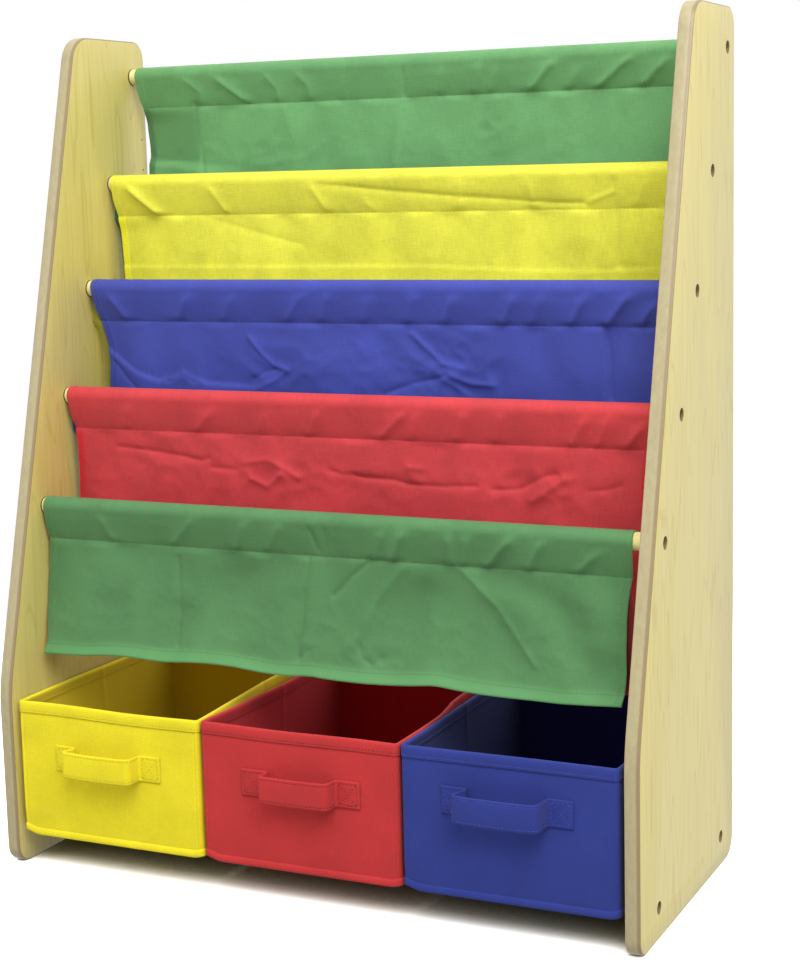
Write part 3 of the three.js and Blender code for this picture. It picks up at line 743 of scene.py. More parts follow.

# Places of folds on each cloth, in millimetres: x from the middle, and how far below the rod's axis
# along the cloth. Sleeve folds run from the rod down to the stitches. Creases also have their
# height (negative where the cloth is pressed in) and width. Left of a tilt's place the cloth leans
# back by its slope. Under a ledge's line the cloth stands out by its height within its width, as
# far to the right as its end. Crumples are blurred spots with their half width, half height and
# strength. rear_shows is how far the layer behind sticks out past the sides. Each painted shade
# patch darkens the cloth's front left of its place and between its two drops, by its strength:
# a painted shade where a fold lies over the cloth.
CLOTH_PLACES = {
    "green": {
        "rear_shows": 6.0,
        "left": [
            (-4, -298), (7, -297.3), (22, -296.3), (32, -293.5), (51, -292.8), (67, -290.2), (77, -289.4),
            (95, -290),
        ],
        "right": [(-12, 299.5), (12, 298), (32, 295), (60, 291), (95, 290)],
        "sleeve": [
            (-244, 1, -228, 14, 0.5), (-206, 2, -168, 31, 0.9), (-149, 0, -138, 14, 0.6),
            (-112, 2, -102, 14, 0.6), (44, 5, 40, 30, 0.5), (84, 1, 75, 32, 0.9), (100, 8, 92, 31, 0.6),
            (161, 1, 132, 31, 1.3),
            (182, 12, 170, 32, 0.8), (236, 1, 199, 30, 1.2), (268, 6, 242, 30, 1.0), (-60, 6, -64, 28, 0.3),
        ],
        "creases": [
            (-1.0, 3.5, [(-231, 30), (-230, 52), (-229, 72), (-225, 96), (-222, 130)]),
            (-0.8, 2.5, [(3, -4), (4, 15), (3, 31)]),
            (0.9, 9.0, [(-1, 35), (-6, 62), (-10, 98), (-14, 140)]),
            (-0.5, 2.0, [(-207, -9), (-193, 4)]),
            (0.7, 12.0, [(-130, 36), (-120, 70), (-124, 120)]),
            (0.6, 14.0, [(150, 36), (146, 90), (150, 160)]),
        ],
        "tilts": [(-229, 0.08)],
        "painted_shade_patches": [(-229, 33.5, 87, 0.42)],
        "ledges": [(3.2, 8, -175, [(-290, 82), (-257, 86), (-228, 91), (-187, 93), (-150, 100)])],
        "crumples": [(88, 62, 24, 12, 0.3), (-160, 80, 30, 16, 0.35)],
    },
    "yellow": {
        "rear_shows": 6.5,
        "left": [(-9, -303), (0, -301.6), (15, -301.8), (23, -300.6), (34, -298.7), (61, -297), (95, -295.5)],
        "right": [(-12, 299.5), (20, 298), (32, 296), (60, 294), (95, 293)],
        "sleeve": [
            (-286, -2, -250, 30, 1.4), (-188, 3, -170, 31, 0.7), (-76, 2, -58, 32, 0.7), (81, 0, 80, 20, 0.6),
            (149, 2, 152, 24, 0.6), (-20, 18, -10, 31, 0.4), (260, 4, 252, 30, 0.5),
        ],
        "creases": [
            (-0.6, 6.0, [(-196, 35), (-145, 49), (-90, 63)]),
            (-1.2, 3.6, [(-63, 3), (-2, 11), (50, 16), (110, 21), (169, 26), (203, 27)]),
            (0.8, 2.6, [(203, 27), (230, 17)]),
            (-0.9, 3.0, [(231, 3), (230, 30)]),
            (-0.9, 4.0, [(231, 34), (232, 60), (233, 84)]),
            (-0.9, 14.0, [(256, 36), (250, 70), (244, 110)]),
            (-0.9, 16.0, [(150, 36), (140, 70), (120, 110)]),
            (0.7, 12.0, [(200, 36), (196, 70)]),
        ],
        "tilts": [(-236, 0.05)],
        "ledges": [(1.1, 3, 300, [(-292, 82), (-91, 82), (38, 82), (139, 86), (220, 87), (288, 84)])],
        "crumples": [(200, 72, 40, 14, 0.4)],
    },
    "blue": {
        "rear_shows": 12.5,
        "left": [
            (-9, -301), (3, -299.7), (9, -299.3), (22, -297), (28, -295.6), (34, -292.8), (47, -289),
            (61, -285.8), (73, -283.9), (95, -285.6),
        ],
        "right": [(-12, 299.5), (12, 298), (32, 294), (60, 289), (95, 288)],
        "sleeve": [
            (-280, 4, -262, 30, 0.9), (-186, 4, -204, 32, 0.9), (-136, 5, -153, 31, 0.7),
            (-58, 0, -79, 26, 0.8), (-33, 2, -46, 30, 0.7), (9, 5, -1, 31, 0.7), (55, 1, 44, 32, 0.9),
            (95, 4, 81, 31, 0.9),
            (154, 2, 139, 33, 1.3), (179, 2, 167, 33, 0.9), (222, 2, 203, 33, 1.1), (263, 0, 237, 33, 1.5),
            (284, 10, 268, 33, 1.2),
        ],
        "creases": [
            (1.1, 3.0, [(-222, 91), (-209, 88), (-199, 83), (-190, 89), (-178, 92)]),
            (-0.9, 4.0, [(-279, 74), (-262, 92), (-250, 104)]),
            (1.2, 3.5, [(-124, 48), (-110, 64), (-98, 74), (-84, 78)]),
            (-0.8, 3.0, [(-122, 88), (-108, 80), (-96, 78)]),
            (0.9, 3.0, [(-116, 96), (-97, 88), (-84, 79)]),
            (1.3, 3.5, [(48, 42), (66, 58), (78, 69), (98, 73)]),
            (-1.0, 3.0, [(20, 98), (48, 88), (76, 82), (84, 78)]),
            (1.3, 3.5, [(84, 78), (107, 87), (128, 88)]),
            (0.8, 4.0, [(78, 83), (92, 90), (104, 98)]),
            (-1.4, 4.0, [(237, 35), (241, 60), (243, 96)]),
            (0.6, 14.0, [(170, 36), (166, 90)]),
        ],
        "ledges": [
            (2.4, 4, -90, [
                (-290, 56), (-274, 68), (-253, 82), (-234, 88), (-216, 91), (-199, 83), (-190, 90),
                (-150, 92), (-90, 95),
            ]),
        ],
        "crumples": [(-100, 74, 34, 18, 0.7), (84, 70, 44, 24, 0.7), (-20, 60, 80, 30, 0.25)],
    },
    "red": {
        "rear_shows": 5.0,
        "left": [(-9, -302), (7, -301.3), (21, -300.3), (28, -298.4), (38, -296.8), (54, -296.2), (95, -298)],
        "right": [(-12, 299.5), (12, 298), (32, 295), (60, 292), (95, 293)],
        "sleeve": [
            (-137, 8, -158, 30, 0.8), (-23, 4, -37, 30, 0.7), (67, 2, 43, 24, 0.9), (80, 1, 70, 24, 0.6),
            (125, -2, 114, 27, 0.9), (158, -3, 150, 28, 0.8), (238, 2, 226, 23, 0.9), (259, 1, 247, 26, 0.8),
            (289, 8, 272, 29, 1.1), (-230, 6, -238, 30, 0.6), (-80, 10, -92, 31, 0.4),
        ],
        "creases": [
            (-1.2, 3.0, [(-250, 50), (-232, 51), (-200, 54), (-178, 56), (-155, 60), (-147, 57)]),
            (-0.7, 3.0, [(-145, 66), (-116, 67)]),
            (1.3, 4.0, [(-102, 74), (-84, 82), (-68, 69)]),
            (1.0, 4.0, [(-108, 60), (-82, 56), (-64, 64), (-50, 72)]),
            (-0.9, 3.0, [(-17, 64), (-5, 67), (8, 66), (20, 70), (36, 69)]),
            (-1.0, 3.0, [(8, 68), (28, 68), (48, 70), (62, 73), (84, 73), (98, 73), (130, 71)]),
            (-1.0, 3.0, [(146, 74), (172, 72), (195, 60), (206, 57)]),
            (1.1, 4.5, [(184, 82), (198, 72), (214, 62)]),
            (-0.8, 3.0, [(236, 71), (253, 69), (266, 65)]),
            (0.7, 3.0, [(62, 57), (75, 58)]),
        ],
        "crumples": [
            (-84, 66, 46, 22, 0.6), (-200, 60, 60, 18, 0.45), (60, 66, 90, 16, 0.4), (190, 68, 50, 18, 0.6),
        ],
    },
    "skirt": {
        "rear_shows": 7.0,
        "left": [
            (-7, -302.4), (9, -303), (28, -302.6), (39, -302.2), (74, -303.6), (103, -303), (127, -299.6),
            (134, -298.8), (143, -299.8), (150, -300.4),
        ],
        "right": [
            (-11, 293.7), (-2, 294.3), (15, 292.8), (24, 292.2), (31, 292.1), (37, 290.4), (51, 288.4),
            (68, 287.3), (102, 287.6), (126, 288.4), (150, 287),
        ],
        "sleeve": [
            (-128, -3, -158, 27, 0.6), (-76, -2, -91, 28, 0.8), (-40, 0, -57, 27, 0.7), (63, 0, 53, 29, 0.9),
            (84, -3, 68, 31, 1.5), (126, 0, 125, 31, 1.1), (143, -1, 137, 30, 1.0), (188, -2, 160, 30, 1.4),
            (216, -1, 198, 30, 1.2), (264, 10, 244, 29, 0.9), (-240, 4, -228, 28, 0.6),
        ],
        "creases": [
            (-1.2, 2.6, [(-15, -2), (-10, 13), (-6, 27)]),
            (-0.8, 2.6, [(4, -2), (3, 12), (2, 24)]),
            (-1.3, 3.5, [(8, 68), (12, 64), (26, 49), (46, 33)]),
            (-1.2, 3.0, [(-156, 44), (-155, 83), (-157, 132)]),
            (-1.3, 3.5, [(-16, 36), (-22, 80), (-26, 130)]),
            (1.0, 7.0, [(82, 34), (52, 70), (30, 116)]),
            (1.1, 6.0, [(132, 33), (170, 66), (206, 118)]),
            (-0.9, 4.0, [(36, 112), (40, 126), (50, 132), (58, 124)]),
            (-0.9, 3.5, [(-28, 112), (-26, 134), (-16, 124)]),
        ],
        "crumples": [(50, 124, 26, 14, 0.6)],
    },
}
# Broad soft folds of the skirt: how far they stand out, half their width, and their line
SKIRT_FOLDS = [
    (-2.6, 22, [(-70, 34), (-110, 80), (-160, 134)]),
    (2.0, 20, [(-30, 40), (-70, 100), (-96, 140)]),
    (-2.0, 16, [(-34, 34), (-60, 90), (-70, 130)]),
    (-2.2, 18, [(98, 60), (80, 104), (70, 140)]),
    (2.4, 22, [(150, 34), (210, 90), (250, 140)]),
    (-2.0, 18, [(190, 34), (232, 74), (262, 120)]),
    (2.2, 24, [(256, 44), (262, 90)]),
    (1.6, 30, [(-236, 50), (-250, 110)]),
    (-1.8, 14, [(-156, 100), (-157, 140)]),
]


# How much higher the skirt's lower edge hangs than its middle level, at places across it
SKIRT_HEM_HEIGHTS = [
    (-300, 2.5), (-258, 3.2), (-230, 6.0), (-201, 6.7), (-172, 5.7), (-144, 7.7), (-115, 8.8), (-86, 7.7),
    (-57, 4.1), (-29, 3.5), (-14, 5.3), (14, 3.8), (43, 3.5), (72, 5.2), (100, 7.2), (115, 9.2), (129, 7.6),
    (144, 5.8), (172, 4.1), (201, 3.5), (230, 2.6), (258, 3.8), (287, 6.0), (300, 6.0),
]


def arc_points(centre, radius, start, end, count=40):
    angles = np.linspace(start, end, count)
    return np.asarray(centre) + radius * np.stack([np.cos(angles), np.sin(angles)], 1)


def curve_points(corners, count=160):
    """A Bezier curve through its first and last corner."""
    share = np.linspace(0, 1, count)[:, None]
    points = [np.repeat(np.array([corner], float), count, 0) for corner in corners]
    while len(points) > 1:
        points = [a + (b - a) * share for a, b in zip(points[:-1], points[1:])]
    return points[0]


def stitch_place(rod, side):
    """Where a sleeve is sewn under its rod: side is -1 for the front layer and 1 for the rear one."""
    return np.array([rod.y + side * LAYER_OFFSET, rod.z - STITCH_DROP])


def wrap_angles():
    """Where a sleeve leaves its rod at the rear and in front."""
    distance = math.hypot(STITCH_DROP, LAYER_OFFSET)
    rear = math.acos(WRAP_RADIUS / distance) - math.atan2(STITCH_DROP, LAYER_OFFSET)
    return rear, math.pi - rear


def cloth_path(index):
    """The (y, z) line of one cloth, from the rear of its rod over the top and down, with the length
    along it where it passes the rod's axis in front, its stitches and its lowest point."""
    rod = SLING_RODS[index]
    rear_angle, front_angle = wrap_angles()
    start_angle = rear_angle if index == 0 else SEAM_ANGLE
    centre = (rod.y, rod.z)
    top = stitch_place(rod, -1)
    parts = [[stitch_place(rod, 1)]] if index == 0 else []
    parts += [arc_points(centre, WRAP_RADIUS, start_angle, front_angle), [top]]
    stitch_at = sum(len(part) for part in parts) - 1
    if index < len(SLING_RODS) - 1:
        next_rod = SLING_RODS[index + 1]
        end = stitch_place(next_rod, 1)
        bottom = np.array([(top[0] + end[0]) / 2, next_rod.z - POCKET_DEPTH])
        belly = np.array([BELLY_SHARE * (top[0] - end[0]) / 2, 0])
        rear_side = (0, SIDE_FALL_SHARE * (top[1] - bottom[1]))
        front_side = (0, SIDE_FALL_SHARE * (end[1] - bottom[1]))
        parts.append(curve_points([top, top - rear_side, bottom + belly, bottom])[1:])
        bottom_at = sum(len(part) for part in parts) - 1
        parts.append(curve_points([bottom, bottom - belly, end - front_side, end])[1:])
        parts.append(arc_points((next_rod.y, next_rod.z), WRAP_RADIUS, rear_angle, SEAM_ANGLE - 0.03, 14))
    else:
        hem = np.array([top[0] - SKIRT_LEAN, rod.z - SKIRT_DROP])
        parts.append(curve_points([top, (top[0], (top[1] + hem[1]) / 2), hem])[1:])
        bottom_at = sum(len(part) for part in parts) - 1
    line = np.concatenate([np.asarray(part, float).reshape(-1, 2) for part in parts])
    lengths = lengths_along(line)
    axis = WRAP_RADIUS * (math.pi - start_angle)
    if index == 0:
        axis += np.linalg.norm(line[1] - line[0])
    return line, lengths, {"axis": axis, "stitch": lengths[stitch_at], "bottom": lengths[bottom_at]}


def edge_places(stops, level, reach=6):
    """A side edge of the cloth through its measured stops, with corners eased within reach."""
    levels, places = zip(*stops)
    blur = np.linspace(-reach, reach, 9)
    return np.mean([np.interp(level + shift, levels, places) for shift in blur], axis=0)


def wave(index, x, z):
    """The slow wave that a cloth's fall shares with the solid it stands for."""
    rod = SLING_RODS[index]
    grown = np.clip((rod.z - STITCH_DROP - z) / POCKET_DEPTH, 0, 1)
    turn = 2 * math.pi * x / WAVE_LENGTH + index * WAVE_PHASE_STEP
    return WAVE_HEIGHT * grown * grown * np.sin(turn)


def waves(layers, index, x, drop):
    """The sum of a cloth's layers of soft waves."""
    return sum(
        height * soft_noise(x, drop, across, down, seed + index) for height, across, down, seed in layers
    )


def sleeve_folds(index, places, x, drop):
    """The sleeve puffs out a little between the rod and the stitches. Its puckers are ridges, a little
    steeper on their right, and are held down at the stitches."""
    puff = smoothstep(2, 14, drop) * (1 - smoothstep(23, STITCH_DROP + 1, drop))
    standing = np.zeros_like(x)
    for x0, drop0, x1, drop1, height in places["sleeve"]:
        share = np.clip((drop - drop0) / (drop1 - drop0), -0.3, 1.3)
        aside = x - x0 - (x1 - x0) * share
        slope = np.exp(-np.abs(aside) / np.where(aside < 0, *PUCKER_SLOPES))
        reach = smoothstep(drop0 - 6, drop0 + 9, drop)
        standing = np.maximum(standing, height * reach * slope)
    held = smoothstep(-3, 8, drop) * (1 - smoothstep(27, STITCH_DROP + 1, drop))
    ripple = waves(SLEEVE_RIPPLES, index, x, drop)
    return SLEEVE_PUFF * puff * (1 + ripple) + PUCKER_LIFT * held * standing


def fall_folds(index, places, x, drop):
    """Folds below the stitches: slow waves, gathers that die out, tilts, ledges and crumples."""
    below = smoothstep(STITCH_DROP + 2, STITCH_DROP + 50, drop)
    relief = below * waves(FALL_WAVES, index, x, drop)
    past_stitches = np.maximum(0, drop - STITCH_DROP)
    gathered = smoothstep(STITCH_DROP - 0.5, STITCH_DROP + 7, drop) * np.exp(-past_stitches / GATHER_LENGTH)
    relief += gathered * (GATHER_LIFT + GATHER_WAVE * soft_noise(x, drop, 32, 160, 51 + index))
    for x0, slope in places.get("tilts", []):
        relief -= slope * np.maximum(0, x0 - x) * smoothstep(STITCH_DROP, STITCH_DROP + 18, drop)
    for height, width, end, points in places.get("ledges", []):
        lines, drops = zip(*points)
        under = drop - np.interp(x, lines, drops)
        relief += height * np.clip(under / width, 0, 1) * (1 - smoothstep(end - 50, end, x))
    ridged = np.abs(soft_noise(x, drop, 46, 34, 61 + index))
    ridged += 0.5 * np.abs(soft_noise(x, drop, 21, 17, 71 + index))
    for x0, drop0, half_x, half_drop, strength in places["crumples"]:
        spot = np.exp(-(((x - x0) / half_x) ** 2) - ((drop - drop0) / half_drop) ** 2)
        relief += strength * CRUMPLE_LIFT * spot * (RIDGE_LEVEL - ridged)
    return relief + 0.5 * below * (RIDGE_LEVEL - ridged)


def cloth_relief(index, places, x, drop):
    """How far a cloth's front stands out of its plain hanging line."""
    relief = np.where(drop < STITCH_DROP + 1, sleeve_folds(index, places, x, drop), 0.0)
    relief = relief + fall_folds(index, places, x, drop)
    off_rod = smoothstep(1, 9, drop)
    for height, width, points in places["creases"]:
        relief += CREASE_LIFT * off_rod * crease(x, drop, height, CREASE_WIDTH * width, points)
    if index == len(SLING_RODS) - 1:
        below = smoothstep(STITCH_DROP, STITCH_DROP + 30, drop)
        for height, half_width, points in SKIRT_FOLDS:
            relief += SKIRT_FOLD_LIFT * height * below * furrow(x, drop, half_width, points)
    groove = bell(drop - STITCH_DROP - 1, 0.9)
    return relief - STITCH_GROOVE * groove * (1 + 0.8 * soft_noise(x, drop, 9, 50, 81 + index))


def cloth_rows(total, at, is_skirt):
    """Lengths along the path where the rows of points lie: fine where the cloth shows."""
    hem_at = total - SKIRT_HEM_WIDTH
    seen_end = total if is_skirt else at["stitch"] + SEEN_BELOW_STITCHES
    rows = spaced(seen_end, CLOTH_STEP, close_to=[at["stitch"]], steps_at=[hem_at] if is_skirt else [])
    if is_skirt:
        return rows
    return np.concatenate([rows, seen_end + spaced(total - seen_end, HIDDEN_STEP)[1:]])


def cloth_columns(width):
    """Places across the cloth, with closer ones at the folded side hems."""
    edges = [SIDE_HEM_WIDTH, width - SIDE_HEM_WIDTH]
    extra = [EDGE_ROUNDING, SIDE_HEM_STITCH, width - SIDE_HEM_STITCH, width - EDGE_ROUNDING]
    columns = spaced(width, CLOTH_STEP, steps_at=edges)
    return np.unique(np.round(np.concatenate([columns, extra]), 3))


def hang_cloth(index, places, next_places):
    """The grid of one cloth's middle surface, with its rows, columns and flat places."""
    line, lengths, at = cloth_path(index)
    is_skirt = next_places is None
    rod = SLING_RODS[index]
    total = lengths[-1]
    rows = cloth_rows(total, at, is_skirt)
    width = 2 * abs(places["left"][0][1])
    columns = cloth_columns(width)
    y = np.interp(rows, lengths, line[:, 0])[:, None]
    z = np.interp(rows, lengths, line[:, 1])[:, None] + np.zeros(len(columns))
    drop = rows[:, None] - at["axis"] + np.zeros(len(columns))

    left = edge_places(places["left"], rod.z - z[:, :1])
    right = edge_places(places["right"], rod.z - z[:, :1])
    rising = np.zeros((len(rows), 1))
    if not is_skirt:
        rising = smoothstep(at["bottom"] - 60, at["bottom"] + 60, rows)[:, None]
        next_level = SLING_RODS[index + 1].z - z[:, :1]
        next_left = edge_places(next_places["left"], next_level, 18) - next_places["rear_shows"]
        next_left = np.maximum(next_left, -PANEL_INSIDE + 0.6)
        right_shows = REAR_RIGHT_SHOWS * (2 * smoothstep(STITCH_DROP - 4, STITCH_DROP + 30, next_level) - 1)
        next_right = edge_places(next_places["right"], next_level) + right_shows
        left = left * (1 - rising) + next_left * rising
        right = right * (1 - rising) + next_right * rising
    x = left + (right - left) * columns / width

    sway = wave(index, x, z) * (1 - rising)
    relief = cloth_relief(index, places, x, drop)
    if is_skirt:
        hem = smoothstep(total - SKIRT_HEM_WIDTH, total, rows)[:, None]
        relief += SKIRT_HEM_FLARE * hem * (1 + 0.4 * soft_noise(x, drop, 150, 900, 91))
    else:
        sway += wave(index + 1, x, z) * rising
        past = smoothstep(at["bottom"] - 40, at["bottom"], rows)[:, None]
        behind = smoothstep(at["bottom"], at["bottom"] + 40, rows)[:, None]
        next_drop = SLING_RODS[index + 1].z - z
        pushed = np.maximum(0, -cloth_relief(index + 1, next_places, x, next_drop))
        under_sleeve = smoothstep(12, STITCH_DROP, next_drop)
        curl = REAR_CURL_SLOPE * np.maximum(0, REAR_CURL - (x - left))
        curl *= smoothstep(STITCH_DROP, 45, next_drop)
        relief = relief * (1 - past) + behind * ((pushed + REAR_LAYER_GAP) * under_sleeve + curl)
    base = np.stack([x, y + sway, z], 2)
    base += grid_normals(base) * relief[..., None]
    if is_skirt:
        base[..., 2] += hem_level(x, drop)
    flat = np.stack([x - left, rows[:, None] + np.zeros(len(columns)), np.zeros_like(x)], 2)
    return base, rows, columns, flat, at, width


def hem_level(x, drop):
    """The skirt's lower edge isn't level: how much higher each place hangs."""
    places, heights = zip(*SKIRT_HEM_HEIGHTS)
    blur = np.linspace(-8, 8, 5)
    level = np.mean([np.interp(x + shift, places, heights) for shift in blur], axis=0)
    return level * smoothstep(60, SKIRT_DROP, drop)


def make_cloth(index, colour, node, piece_name, materials):
    """One hanging cloth with folded side hems, its stitches, and what they replace."""
    is_skirt = index == len(SLING_RODS) - 1
    places = CLOTH_PLACES[colour]
    next_places = None if is_skirt else list(CLOTH_PLACES.values())[index + 1]
    middle, rows, columns, flat, at, width = hang_cloth(index, places, next_places)
    plain = np.zeros(middle.shape[:2])
    in_hem = np.tile((columns < SIDE_HEM_WIDTH) | (columns > width - SIDE_HEM_WIDTH), (len(rows), 1))
    if is_skirt:
        in_hem |= (rows > rows[-1] - SKIRT_HEM_WIDTH)[:, None]
    rounding = np.where((columns < 0.5) | (columns > width - 0.5), 0.55, 1.0)
    back = (CLOTH_FACE + 2 * HEM_FOLD * in_hem) * rounding
    front = (CLOTH_FACE + 0.3 * HEM_FOLD * in_hem) * rounding
    cloth, front_face, back_face, normals = shell(piece_name, middle, front, back, flat, materials[colour])
    if is_skirt:
        hem_share = smoothstep(rows[-1] - 1.6 * SKIRT_HEM_WIDTH, rows[-1], rows)[:, None] + plain
        risen = 0
    else:
        # The slings' hems take their colour, on green and blue a painted shade, from the stitches down
        hem_share = in_hem * smoothstep(at["stitch"] - 1, at["stitch"] + 3, rows)[:, None]
        risen = smoothstep(at["bottom"], at["bottom"] + 30, rows)[:, None]
    mark(cloth, "hem_share", [hem_share, hem_share])
    # Painted shade on the side strips of the rear layer, on both faces
    to_side = np.minimum(columns, width - columns)
    rear_painted_shade = risen * (1 - smoothstep(REAR_SIDE_SHADE_WIDTH / 2, REAR_SIDE_SHADE_WIDTH, to_side)) + plain
    front_painted_shade = rear_painted_shade.copy()
    drop = (rows - at["axis"])[:, None]
    # Painted shade of folds, on the cloth's front face only
    for end, top, bottom, strength in places.get("painted_shade_patches", []):
        within = smoothstep(top - 1, top + 1, drop) * (1 - smoothstep(bottom - 1, bottom + 1, drop))
        front_painted_shade += strength * within * (1 - smoothstep(end - 1.5, end + 1.5, middle[..., 0]))
    mark(cloth, "painted_shade_share", [front_painted_shade, rear_painted_shade])
    declare(cloth, "frame", node)
    flat_size = (round(width * MM, 3), round((rows[-1] - rows[0]) * MM, 3))
    faces = [(front_face, normals), (back_face, -normals)]
    runs = cloth_runs(rows, columns, width, at, is_skirt, faces)
    declare(stitches(f"{piece_name}_stitches", runs, materials[f"{colour}_thread"]), "frame")


def nearest(values, wanted):
    return int(np.argmin(np.abs(values - wanted)))


def cloth_runs(rows, columns, width, at, is_skirt, cloth_faces):
    """Paths of a cloth's stitches on both faces: under its rod, along its sides and in a skirt's hem."""
    runs = []
    seen = nearest(rows, at["bottom"])
    for points, normals in cloth_faces:
        levels = [at["stitch"]]
        if is_skirt:
            levels.append(rows[-1] - SKIRT_HEM_WIDTH + SKIRT_HEM_STITCH)
        for row in (nearest(rows, level) for level in levels):
            runs.append((points[row, 2:-2], normals[row, 2:-2]))
        for place in (SIDE_HEM_STITCH, width - SIDE_HEM_STITCH):
            column = nearest(columns, place)
            runs.append((points[1:seen, column], normals[1:seen, column]))
    return runs


# Bins


def bin_plan(inset, spots):
    """Points of a bin's plan, drawn in by inset. Where the inset is below zero, only the front and
    rear stand out: the bins stand side by side."""
    centres, ways_out = spots
    radius = max(BIN_CORNER - inset, 0.4)
    half = np.array([BIN_HALF.x - max(inset, 0.05), BIN_HALF.y - inset])
    return centres * (half - radius) + ways_out * radius


def plan_spots():
    """Where the points of every plan ring sit: each one's centre, from -1 to 1 both ways, and its way
    out. The centre stays in a rounded corner and runs along the walls between them."""
    corners = np.array([(1, -1), (1, 1), (-1, 1), (-1, -1)])
    centres, ways_out = [], []
    for number, corner in enumerate(corners):
        for turn in np.linspace(-0.5, 0, PLAN_CORNER_STEPS + 1) + 0.5 * number:
            centres.append(corner)
            ways_out.append((math.cos(turn * math.pi), math.sin(turn * math.pi)))
        length = 2 * (BIN_HALF.x if number % 2 else BIN_HALF.y)
        count = 2 * round(length / PLAN_STEP / 2)
        close = [distance / length for distance in (0.5, 1.0, 1.7)]
        evenly = [place / count for place in range(1, count)]
        following = corners[(number + 1) % 4]
        for share in (*close, *evenly, *(1 - share for share in reversed(close))):
            centres.append(corner + (following - corner) * share)
            ways_out.append((corner + following) / 2)
    return np.array(centres, float), np.array(ways_out, float)


def bow_in(points, colour):
    """Draws the side walls in towards the middle of their depth: evenly at the floor, and at the
    rim by each wall's own measure, with a fold halfway."""
    x, y, z = points[..., 0], points[..., 1], points[..., 2]
    share = np.clip(np.abs(y) / (BIN_HALF.y - BIN_CORNER), 0, 1)
    foot = BIN_FLOOR_BOW * (0.55 * (1 - share) + 0.45 * (1 - share**2))
    left, right = (edge_places(RIM_BOWS[colour][side], y, 10) for side in ("left", "right"))
    rim = np.where(x < 0, left, right) + BIN_FOLD_DEPTH * np.exp(-np.abs(y) / BIN_FOLD_WIDTH)
    bow = foot + (rim - foot) * smoothstep(20, BIN_HEIGHT, z)
    shifted = points.copy()
    shifted[..., 0] = x - np.sign(x) * bow * np.minimum(1, np.abs(x) / (BIN_HALF.x - BIN_WALL))
    return shifted


def bin_profile():
    """The section through a bin's wall as (inset, z), from under the floor, up outside, over the rim,
    down the lining and up and down the hollow that holds the wall board."""
    hem = BIN_HEIGHT - BIN_HEM
    hollow_top = BIN_HEIGHT - 0.9
    middle = BIN_HALF.x - 1
    under = [(middle, 0), (70, 0), (40, 0), (20, 0), (10, 0), (5, 0.1)]
    wall = [(BIN_CLOTH_FACE, z) for z in np.linspace(16, hem - 3, 26)]
    lining = [(BIN_LINING_FACE, z) for z in (*np.linspace(hem - 3, 2.0, 24), 1.2)]
    hollow = [(BIN_HOLLOW_INNER, z) for z in np.linspace(1.2, hollow_top, 18)]
    hollow += [(BIN_HOLLOW_OUTER, z) for z in np.linspace(hollow_top, 1.0, 18)]
    floor = [(inset, 0.8) for inset in (5, 20, 40, 70, middle)]
    outside = under + BIN_WELT + wall + raised(BIN_BAND, hem) + raised(BIN_RIM, BIN_HEIGHT)
    return outside + raised(BIN_INNER_BAND, hem) + lining + hollow + floor


def raised(section, height):
    return [(inset, height + z) for inset, z in section]


def bin_relief(points, inset, z):
    """How far the outer cloth stands out of its plain plan: slack and corner seams."""
    if inset > BIN_RELIEF_DEPTH:
        return np.zeros(len(points))
    x, y = points[:, 0], points[:, 1]
    hem = BIN_HEIGHT - BIN_HEM
    on_wall = smoothstep(12, 22, z) * (1 - smoothstep(hem - 10, hem - 2, z))
    near_ends = np.abs(y) > BIN_HALF.y - BIN_CORNER
    slack = np.where(near_ends, 0.9, 0.25) * np.clip(0.5 + 0.5 * soft_noise(x, z, 90, 70, 7), 0, 1)
    from_seam = BIN_HALF.x - np.abs(x) - BIN_CORNER_SEAM
    standing = smoothstep(8, 11, z) * (1 - smoothstep(hem - 2, hem, z))
    sewn = near_ends * standing * (0.5 * bell(from_seam + 2.2, 1.1) - 0.45 * bell(from_seam, 0.9))
    return on_wall * slack + sewn


def make_bin(colour, materials):
    """One bin's cloth, with its boards, stitches and handle."""
    body = f"{colour}_bin"
    felt = materials[body]
    low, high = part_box(f"{body}_cover")
    middle = (low + high) / 2 / MM
    origin = np.array([middle.x, middle.y, low.z / MM])
    spots = plan_spots()
    profile = bin_profile()
    rings = []
    for inset, z in profile:
        plan = bin_plan(min(inset, BIN_HALF.x - 1), spots)
        ring = np.column_stack([plan, np.full(len(plan), float(z))])
        out = np.sign(plan) * bin_relief(plan, inset, z)[:, None]
        on_end = np.abs(plan[:, 1]) > BIN_HALF.y - BIN_CORNER - inset
        ring[:, 0] += np.where(on_end, 0, out[:, 0])
        ring[:, 1] += np.where(on_end, out[:, 1], 0)
        rings.append(bow_in(ring, colour))
    grid = np.array(rings)
    grid[..., 2] += foot_sag(grid) + rim_wobble(grid, colour)
    around, up = lengths_along(grid[WALL_RING])[None, :], lengths_along(profile)[:, None]
    flat = np.stack(np.broadcast_arrays(around, up, 0.0), 2)
    placed = grid + origin
    faces = closed_loft_faces(*grid.shape[:2])
    cover = add_mesh(f"{body}_cloth", placed.reshape(-1, 3), faces, felt, flat.reshape(-1, 3))
    # Rows of the lining inside the bin, which get painted shade
    inside_shaded = [float(inset >= BIN_LINING_FACE and z < BIN_HEIGHT - 2) for inset, z in profile]
    mark(cover, "inside_painted_shade", np.repeat(inside_shaded, grid.shape[1]))
    declare(cover, body, f"{body}_cover")
    for part in ("left_front", "left_rear", "right_front", "right_rear"):
        make_side_board(colour, part, origin, materials["board"])
    dress(nodes[f"{body}_base_board"], felt)
    make_bin_stitches(colour, grid, placed, profile, materials)
    make_handle(colour, middle, materials)


